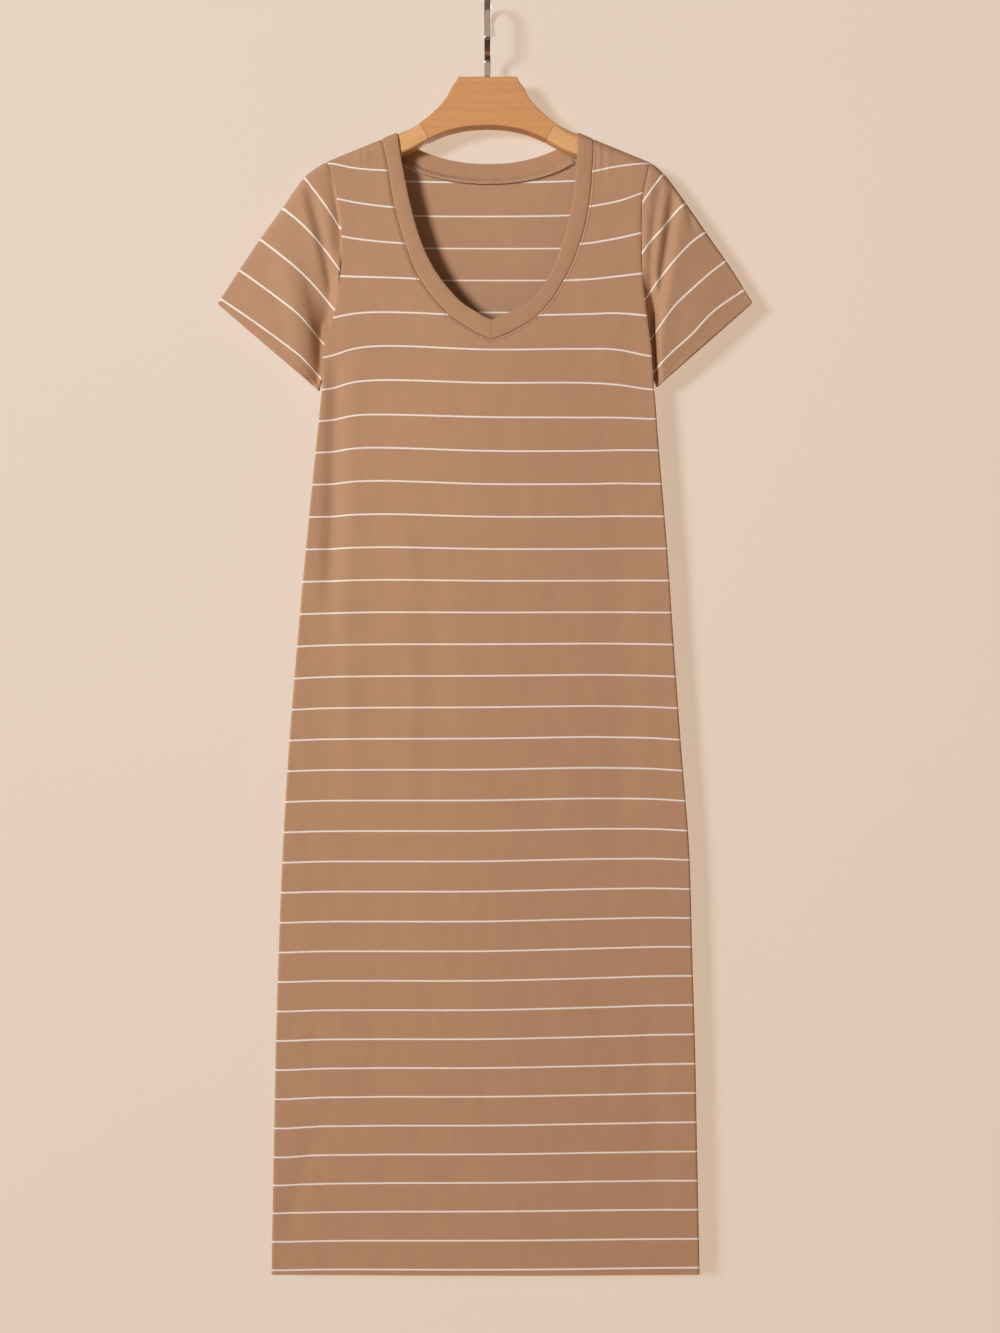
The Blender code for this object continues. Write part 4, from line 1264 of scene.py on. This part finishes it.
def block_outline():
    """The block's face, clockwise from the middle of its top."""
    turns = np.radians([90, 60, 30, 5])
    across = BLOCK_HALF_TOP - BLOCK_CORNER + BLOCK_CORNER * np.cos(turns)
    corner = np.stack([across, WOOD_TOP - BLOCK_CORNER * (1 - np.sin(turns))], axis=-1)
    side_x = np.linspace(BLOCK_SIDE_FROM, JOINT_TOP_X - SEAM_GAP, BLOCK_SIDE_POINTS)[1:]
    arch_x = np.linspace(JOINT_LOW_X - SEAM_GAP, 0.0, BLOCK_SIDE_POINTS)
    side, arch = (
        np.stack([x, edge(x)], axis=-1) for x, edge in ((side_x, wood_top), (arch_x, wood_bottom))
    )
    half = np.concatenate([corner, [BLOCK_SHOULDER], side, arch])
    return np.concatenate([half, half[-2::-1] * (-1, 1)]).tolist()


def make_block(material):
    work = bmesh.new()
    verts = [
        work.verts.new((x * MM, -WOOD_HALF_THICKNESS * MM, z * MM)) for x, z in block_outline()
    ]
    moved = bmesh.ops.extrude_face_region(work, geom=[work.faces.new(verts)])["geom"]
    far = [item for item in moved if isinstance(item, bmesh.types.BMVert)]
    bmesh.ops.translate(work, vec=(0, 2 * WOOD_HALF_THICKNESS * MM, 0), verts=far)
    weight = work.edges.layers.float.new("bevel_weight_edge")
    joint_ends = {JOINT_TOP_X - SEAM_GAP, JOINT_LOW_X - SEAM_GAP}
    for edge in work.edges:
        a, b = (vert.co / MM for vert in edge.verts)
        joint = {round(abs(a.x), 2), round(abs(b.x), 2)} == joint_ends
        edge[weight] = 0.0 if a.y * b.y < 0 or joint else 1.0
    block = closed_object("hanger_block_wood", work, SHARP_BLOCK, material)
    bevel = block.modifiers.new("rounded edges", "BEVEL")
    bevel.width = BLOCK_BEVEL * MM
    bevel.segments = 5
    bevel.limit_method = "WEIGHT"
    return finished(block)


def arm_ring(top_x, low_x, top_round, shrink, side):
    """A section of the arm: its top rounded to carry the cloth, its lower corners eased."""
    top = Vector((side * top_x, 0, float(wood_top(top_x))))
    low = Vector((side * low_x, 0, float(wood_bottom(low_x))))
    down = (low - top).normalized()
    top += down * shrink
    low -= down * shrink
    height = (low - top).length
    half = WOOD_HALF_THICKNESS - shrink
    upper, lower = min(top_round, half - ARM_TOP_FLAT), ARM_LOW_ROUND
    corners = [
        (half - upper, upper, upper, 90, 10),
        (half - lower, height - lower, lower, 0, 5),
        (lower - half, height - lower, lower, -90, 5),
        (upper - half, upper, upper, -180, 10),
    ]
    ring = []
    for across, depth, radius, first, steps in corners:
        for i in range(steps + 1):
            angle = math.radians(first - 90 * i / steps)
            y = across + radius * math.cos(angle)
            ring.append(top + down * (depth - radius * math.sin(angle)) + Vector((0, y, 0)))
    return ring


def make_arm(side, material):
    sizes = []
    for near, far in zip(ARM_STATIONS, ARM_STATIONS[1:]):
        steps = max(1, round((far.top_x - near.top_x) / ARM_STEP))
        sizes += [[mix(a, b, i / steps) for a, b in zip(near, far)] for i in range(steps)]
    rings = [arm_ring(*size, side) for size in (*sizes, ARM_STATIONS[-1])]
    return tube_object(f"hanger_arm_{SIDE_NAMES[side]}_wood", rings, material)


class DRESS_OT_hanger(Operator):
    """Make the hanger's middle block and its two arms"""

    bl_idname = "dress.hanger"
    bl_label = "Wooden Hanger"

    def execute(self, context):
        settings = context.scene.dress_hanger
        block = make_block(wood_finish("wood_block", settings.block_colour, 0.0))
        hand_over(block, "wood_block", "hanger_block")
        tilt = math.atan(SHOULDER_SLOPE)
        for side in (LEFT, RIGHT):
            name = SIDE_NAMES[side]
            wood = wood_finish(f"wood_arm_{name}", settings.arm_colour, side * tilt)
            hand_over(make_arm(side, wood), "wood_arm", f"hanger_arm_{name}")
        return {"FINISHED"}


def hook_route():
    """The strip's middle from above the wood, through its bend and round."""
    radius = HOOK_INNER_RADIUS + STRIP_THICKNESS / 2
    route = []
    for share in np.arange(HOOK_BEND_STEPS + 1) / HOOK_BEND_STEPS:
        ahead = radius * (1 - math.cos(math.pi * share)) / 2
        route.append(Vector((0, -ahead, mix(HOOK_STEM_TOP, HOOK_BEND_TOP, share))))
    for i in range(HOOK_ARC_STEPS + 1):
        angle = math.radians(180 - (180 + HOOK_TIP_DROP) * i / HOOK_ARC_STEPS)
        y, z = radius * math.cos(angle), radius * math.sin(angle) - HOOK_INNER_RADIUS
        route.append(Vector((0, y, z)))
    return route


def strip_ring(middle, along, width, thickness, edge):
    """A section across the strip with rounded corners, square to its route."""
    across = Vector((1, 0, 0))
    normal = along.cross(across)
    ring = []
    for turn, (sign_x, sign_n) in enumerate(((1, 1), (-1, 1), (-1, -1), (1, -1))):
        for i in range(5):
            angle = math.radians(90 * turn + 22.5 * i)
            x = sign_x * (width / 2 - edge) + edge * math.cos(angle)
            n = sign_n * (thickness / 2 - edge) + edge * math.sin(angle)
            ring.append(middle + across * x + normal * n)
    return ring


def make_hook(material):
    up = Vector((0, 0, 1))
    pin = (PIN_DIAMETER, PIN_DIAMETER, PIN_DIAMETER / 2 - PIN_FLAT)
    strip = (STRIP_WIDTH, STRIP_THICKNESS, STRIP_EDGE)
    rings = [strip_ring(up * (WOOD_TOP - PIN_DEPTH), up, *pin)]
    for share in np.linspace(0, 1, STEM_RINGS):
        height = WOOD_TOP + mix(PIN_STAND, STRIP_START, share)
        sizes = [mix(a, b, float(smooth(share))) for a, b in zip(pin, strip)]
        rings.append(strip_ring(up * height, up, *sizes))
    route = hook_route()
    for i, middle in enumerate(route):
        before = route[i - 1] if i else middle - up
        after = route[i + 1] if i < len(route) - 1 else 2 * middle - before
        rings.append(strip_ring(middle, (after - before).normalized(), *strip))
    return tube_object("hook_metal_strip", rings, material)


class DRESS_OT_hook(Operator):
    """Make the flat chromed hook"""

    bl_idname = "dress.hook"
    bl_label = "Hook"

    def execute(self, context):
        chrome = chrome_finish("chrome", context.scene.dress_hanger.metal_roughness)
        hand_over(make_hook(chrome), "hook_metal", "hook")
        return {"FINISHED"}


# ================================================================ finishes
class Wire:
    """A shader socket that takes part in sums."""

    def __init__(self, finish, socket):
        self.finish, self.socket = finish, socket

    def sum(self, operation, *parts):
        values = dict(enumerate(parts))
        return self.finish.node("ShaderNodeMath", values, operation=operation)[0]

    def __add__(self, other):
        return self.sum("ADD", self, other)

    def __mul__(self, other):
        return self.sum("MULTIPLY", self, other)

    __radd__, __rmul__ = __add__, __mul__

    def __sub__(self, other):
        return self.sum("SUBTRACT", self, other)

    def __rsub__(self, other):
        return self.sum("SUBTRACT", other, self)

    def __truediv__(self, other):
        return self.sum("DIVIDE", self, other)

    def __abs__(self):
        return self.sum("ABSOLUTE", self)

    def fraction(self):
        return self.sum("FRACT", self)

    def sine(self):
        return self.sum("SINE", self)

    def clamped(self):
        return self.finish.node("ShaderNodeClamp", {"Value": self})[0]


class Finish:
    """A node material being put together round its Principled shader."""

    def __init__(self, name):
        self.material = bpy.data.materials.new(name)
        self.material.use_nodes = True
        self.tree = self.material.node_tree
        self.surface = self.tree.nodes["Principled BSDF"]

    def node(self, kind, values=(), **settings):
        """A new node's outputs, as wires."""
        values = {
            key: value.socket if isinstance(value, Wire) else value
            for key, value in dict(values).items()
        }
        made = add_node(self.tree, kind, values, settings)
        return [Wire(self, socket) for socket in made.outputs]

    def set(self, **values):
        """Fills or links inputs of the Principled shader, a space in a name as an underscore."""
        for key, value in values.items():
            socket = self.surface.inputs[key.replace("_", " ")]
            if isinstance(value, Wire):
                self.tree.links.new(value.socket, socket)
            else:
                socket.default_value = value

    def place(self):
        """Object coordinates."""
        return self.node("ShaderNodeTexCoord")[3]

    def blend(self, factor, first, second):
        """The second colour over the first by a factor."""
        values = {0: factor, 6: first, 7: second}
        return self.node("ShaderNodeMix", values, data_type="RGBA")[2]

    def noise(self, place, scale, detail=2.0, roughness=0.5):
        values = {"Vector": place, "Scale": scale, "Detail": detail, "Roughness": roughness}
        return self.node("ShaderNodeTexNoise", values)[0]

    def stretched(self, place, scale, turn=(0, 0, 0)):
        values = {"Vector": place, "Scale": scale, "Rotation": turn}
        return self.node("ShaderNodeMapping", values)[0]

    def fibres(self, place, scale, detail=2.0, roughness=0.5):
        """Noise with a scale of its own along each axis."""
        return self.noise(self.stretched(place, scale), 1.0, detail, roughness)

    def bump(self, height, strength, distance):
        values = {"Height": height, "Strength": strength, "Distance": distance}
        self.set(Normal=self.node("ShaderNodeBump", values)[0])


def shade(colour, amount):
    return (*(min(1.0, part * amount) for part in colour), 1.0)


def jersey_finish(name, settings, striped):
    """Fine single jersey: columns of loops, a little heathering, and the stripes."""
    finish = Finish(name)
    ground = settings.jersey_colour if striped else settings.band_colour
    flat = finish.node("ShaderNodeUVMap", uv_map="cloth")[0]
    across, down, _ = finish.node("ShaderNodeSeparateXYZ", {0: flat})
    mottle = finish.fibres(flat, (60, 18, 1), 3.0)
    heather = finish.fibres(flat, (900, 300, 1))
    light = (0.62 * mottle + 0.38 * heather - 0.5) * 1.6 + 0.5
    colour = finish.blend(light.clamped(), shade(ground, 0.925), shade(ground, 1.075))
    wale = abs((across * (1 / WALE)).fraction() - 0.5) * 2
    course = abs((down * (1 / COURSE)).fraction() - 0.5) * 2
    fuzz = finish.fibres(flat, (2600, 2600, 1), 2.0, 0.6)
    height = 0.55 * wale + 0.2 * course + 0.6 * fuzz + 0.5 * heather
    if striped:
        index = finish.node("ShaderNodeAttribute", attribute_name="stripe")[2]
        spacing = (STRIPE_PITCH + 2 * STRIPE_SPREAD * index) * MM
        wander = (finish.fibres(flat, (1150, 160, 1), 1.0) - 0.5) * STRIPE_BLUR
        away = abs((index + 0.5).fraction() - 0.5) * spacing + wander
        stripe = ((0.5 * settings.stripe_width - away) / STRIPE_BLUR + 0.5).clamped()
        pale = settings.stripe_colour
        thread = finish.blend(heather, shade(pale, 0.94), shade(pale, 1.04))
        colour = finish.blend(stripe, colour, thread)
        height = height + 0.35 * stripe
    finish.set(Base_Color=colour, Roughness=0.78 + 0.14 * fuzz, Specular_IOR_Level=0.25)
    finish.set(Sheen_Weight=0.08, Sheen_Roughness=0.45, Sheen_Tint=shade(ground, 1.5))
    finish.bump(height, 0.32, 0.00022)
    return finish.material


def thread_finish(name, colour, amount):
    """Spun sewing thread with its twist."""
    finish = Finish(name)
    fibre = finish.noise(finish.place(), 1600.0)
    tint = finish.blend(fibre, shade(colour, 0.88 * amount), shade(colour, 1.1 * amount))
    finish.set(Base_Color=tint, Roughness=0.6 + 0.2 * fibre, Sheen_Weight=0.2)
    finish.bump(fibre, 0.3, 0.0001)
    return finish.material


def wood_finish(name, colour, tilt):
    """Lacquered beech with its grain along the piece, turned by a tilt about Y."""
    finish = Finish(name)
    lengthways = finish.stretched(finish.place(), (1, 1, 1), (0, -tilt, 0))
    broad = finish.fibres(lengthways, (7, 60, 95), 3.0)
    fine = finish.fibres(lengthways, (42, 700, 900), 3.0, 0.6)
    flecks = finish.fibres(lengthways, (110, 900, 1300), 1.0)
    fleck = ((flecks - 0.6) * 8.0).clamped()
    _, _, up = finish.node("ShaderNodeSeparateXYZ", {0: lengthways})
    rings = (up * 640.0 + broad * 9.0).sine() * 0.5 + 0.5
    grain = (0.42 * broad + 0.46 * fine + 0.12 * rings - 0.5) * 1.5 + 0.5
    tint = finish.blend(grain.clamped(), shade(colour, 0.83), shade(colour, 1.13))
    tint = finish.blend(0.4 * fleck, tint, shade(colour, 0.6))
    finish.set(Base_Color=tint, Roughness=0.36 + 0.2 * fine, Coat_Weight=0.35)
    finish.set(Coat_Roughness=0.22)
    finish.bump(0.7 * fine + 0.5 * (1 - fleck), 0.12, 0.00025)
    return finish.material


def chrome_finish(name, roughness):
    """Bright plating with faint polishing lines along the strip."""
    finish = Finish(name)
    place = finish.place()
    lines = finish.fibres(place, (2600, 60, 60))
    smudge = finish.noise(place, 90.0)
    finish.set(Roughness=roughness * (0.75 + 0.35 * lines + 0.25 * smudge))
    finish.set(Base_Color=(0.86, 0.84, 0.82, 1), Metallic=1.0)
    finish.bump(lines, 0.05, 0.0001)
    return finish.material


def flag_finish(name):
    """Dark felt that only the chrome reflects."""
    finish = Finish(name)
    finish.set(Base_Color=(0.09, 0.055, 0.035, 1), Roughness=1.0)
    return finish.material


def wall_finish(name, colour, glow=(0.0, 0.0, 0.0)):
    """Matt plaster that is seen only from its front and may glow a little."""
    finish = Finish(name)
    finish.set(Emission_Color=shade(glow, 1.0), Emission_Strength=1.0)
    place = finish.place()
    cloud, grit = finish.noise(place, 2.3, 3.0), finish.noise(place, 160.0, 3.0)
    tint = finish.blend(0.7 * cloud + 0.3 * grit, shade(colour, 0.96), shade(colour, 1.04))
    finish.set(Base_Color=tint, Roughness=0.9)
    finish.bump(grit, 0.06, 0.0006)
    clear = finish.node("ShaderNodeBsdfTransparent")[0]
    backfacing = finish.node("ShaderNodeNewGeometry")[6]
    plaster = Wire(finish, finish.surface.outputs[0])
    seen = finish.node("ShaderNodeMixShader", {0: backfacing, 1: plaster, 2: clear})[0]
    finish.tree.links.new(seen.socket, finish.tree.nodes["Material Output"].inputs["Surface"])
    return finish.material


# ================================================================ studio
def plane(name, corners, material):
    mesh = bpy.data.meshes.new(name)
    mesh.from_pydata(corners, [], [(0, 1, 2, 3)])
    mesh.materials.append(material)
    made = link(name, mesh)
    return made


def level_plane(name, half_width, front, back, height, material):
    across = (-half_width, half_width, half_width, -half_width)
    corners = [(x, y, height) for x, y in zip(across, (front, front, back, back))]
    return plane(name, corners, material)


def area_light(name, place, target, size, power, colour):
    light = bpy.data.lights.new(name, "AREA")
    light.shape = "DISK"
    light.size = size
    light.energy = power
    light.color = colour
    made = link(name, light)
    made.location = place
    made.rotation_euler = (Vector(target) - Vector(place)).to_track_quat("-Z", "Y").to_euler()
    return made


class DRESS_OT_studio(Operator):
    """Set the wall, the floor, the lights and the camera"""

    bl_idname = "dress.studio"
    bl_label = "Studio"

    def execute(self, context):
        scene = context.scene
        settings = scene.dress_studio
        low, high = CAD_BOX[0][2] - FLOOR_DROP, CAMERA_PLACE[2] + WALL_HALF
        sides = ((-WALL_HALF, low), (WALL_HALF, low), (WALL_HALF, high), (-WALL_HALF, high))
        plaster = wall_finish("plaster", settings.wall_colour, settings.glow_colour)
        wall = plane("wall", [(x, WALL_PLACE, z) for x, z in sides], plaster)
        wall.visible_shadow = wall.visible_glossy = False
        paint = wall_finish("floor_paint", settings.floor_colour)
        level_plane("floor", FLOOR_HALF, -FLOOR_HALF, FLOOR_HALF, low, paint)
        felt = flag_finish("black_felt")
        rise = low + FLAG_RISE
        flag = level_plane("dark_flag", FLAG_HALF, FLAG_FRONT, FLAG_BACK, rise, felt)
        flag.visible_camera = flag.visible_diffuse = flag.visible_shadow = False
        made = {
            name: area_light(name, place, target, size, power or settings.key_power, colour)
            for name, place, target, size, power, colour in LIGHTS
        }
        made["key"].data.spread = math.radians(KEY_SPREAD)
        made["front_soft"].visible_glossy = False
        made["hook_card"].visible_diffuse = False
        scene.view_settings.view_transform = "Standard"
        scene.world = bpy.data.worlds.new("studio")
        scene.world.use_nodes = True
        sky = scene.world.node_tree.nodes["Background"]
        sky.inputs["Color"].default_value = SKY_COLOUR
        sky.inputs["Strength"].default_value = settings.fill_strength
        scene.camera = link("camera", bpy.data.cameras.new("camera"))
        scene.camera.data.lens = CAMERA_LENS
        scene.camera.location = CAMERA_PLACE
        scene.camera.rotation_euler = (math.radians(90), 0, 0)
        return {"FINISHED"}


# ================================================================ add-on
PIECES = (
    DRESS_OT_panels, DRESS_OT_neckband, DRESS_OT_sleeves, DRESS_OT_hem_stitching,
    DRESS_OT_neck_seam, DRESS_OT_hanger, DRESS_OT_hook, DRESS_OT_studio,
)


class DRESS_PT_sidebar(Panel):
    """Lists the pieces of the dress in the sidebar"""

    bl_idname = "DRESS_PT_sidebar"
    bl_label = "T-shirt Dress"
    bl_space_type = "VIEW_3D"
    bl_region_type = "UI"
    bl_category = "Dress"

    def draw(self, context):
        for group in (context.scene.dress_cloth, context.scene.dress_hanger,
                      context.scene.dress_studio):
            box = self.layout.box()
            for name in group.__annotations__:
                box.prop(group, name)
        for piece in PIECES:
            self.layout.operator(piece.bl_idname)


SETTINGS = {
    "dress_cloth": DressClothSettings,
    "dress_hanger": DressHangerSettings,
    "dress_studio": DressStudioSettings,
}
CLASSES = (*SETTINGS.values(), *PIECES, DRESS_PT_sidebar)


def register():
    for item in CLASSES:
        bpy.utils.register_class(item)
    for name, group in SETTINGS.items():
        setattr(bpy.types.Scene, name, PointerProperty(type=group))


def unregister():
    for name in SETTINGS:
        delattr(bpy.types.Scene, name)
    for item in reversed(CLASSES):
        bpy.utils.unregister_class(item)


def main():
    register()
    for piece in PIECES:
        area, name = piece.bl_idname.split(".")
        getattr(getattr(bpy.ops, area), name)()


if __name__ == "__main__":
    main()
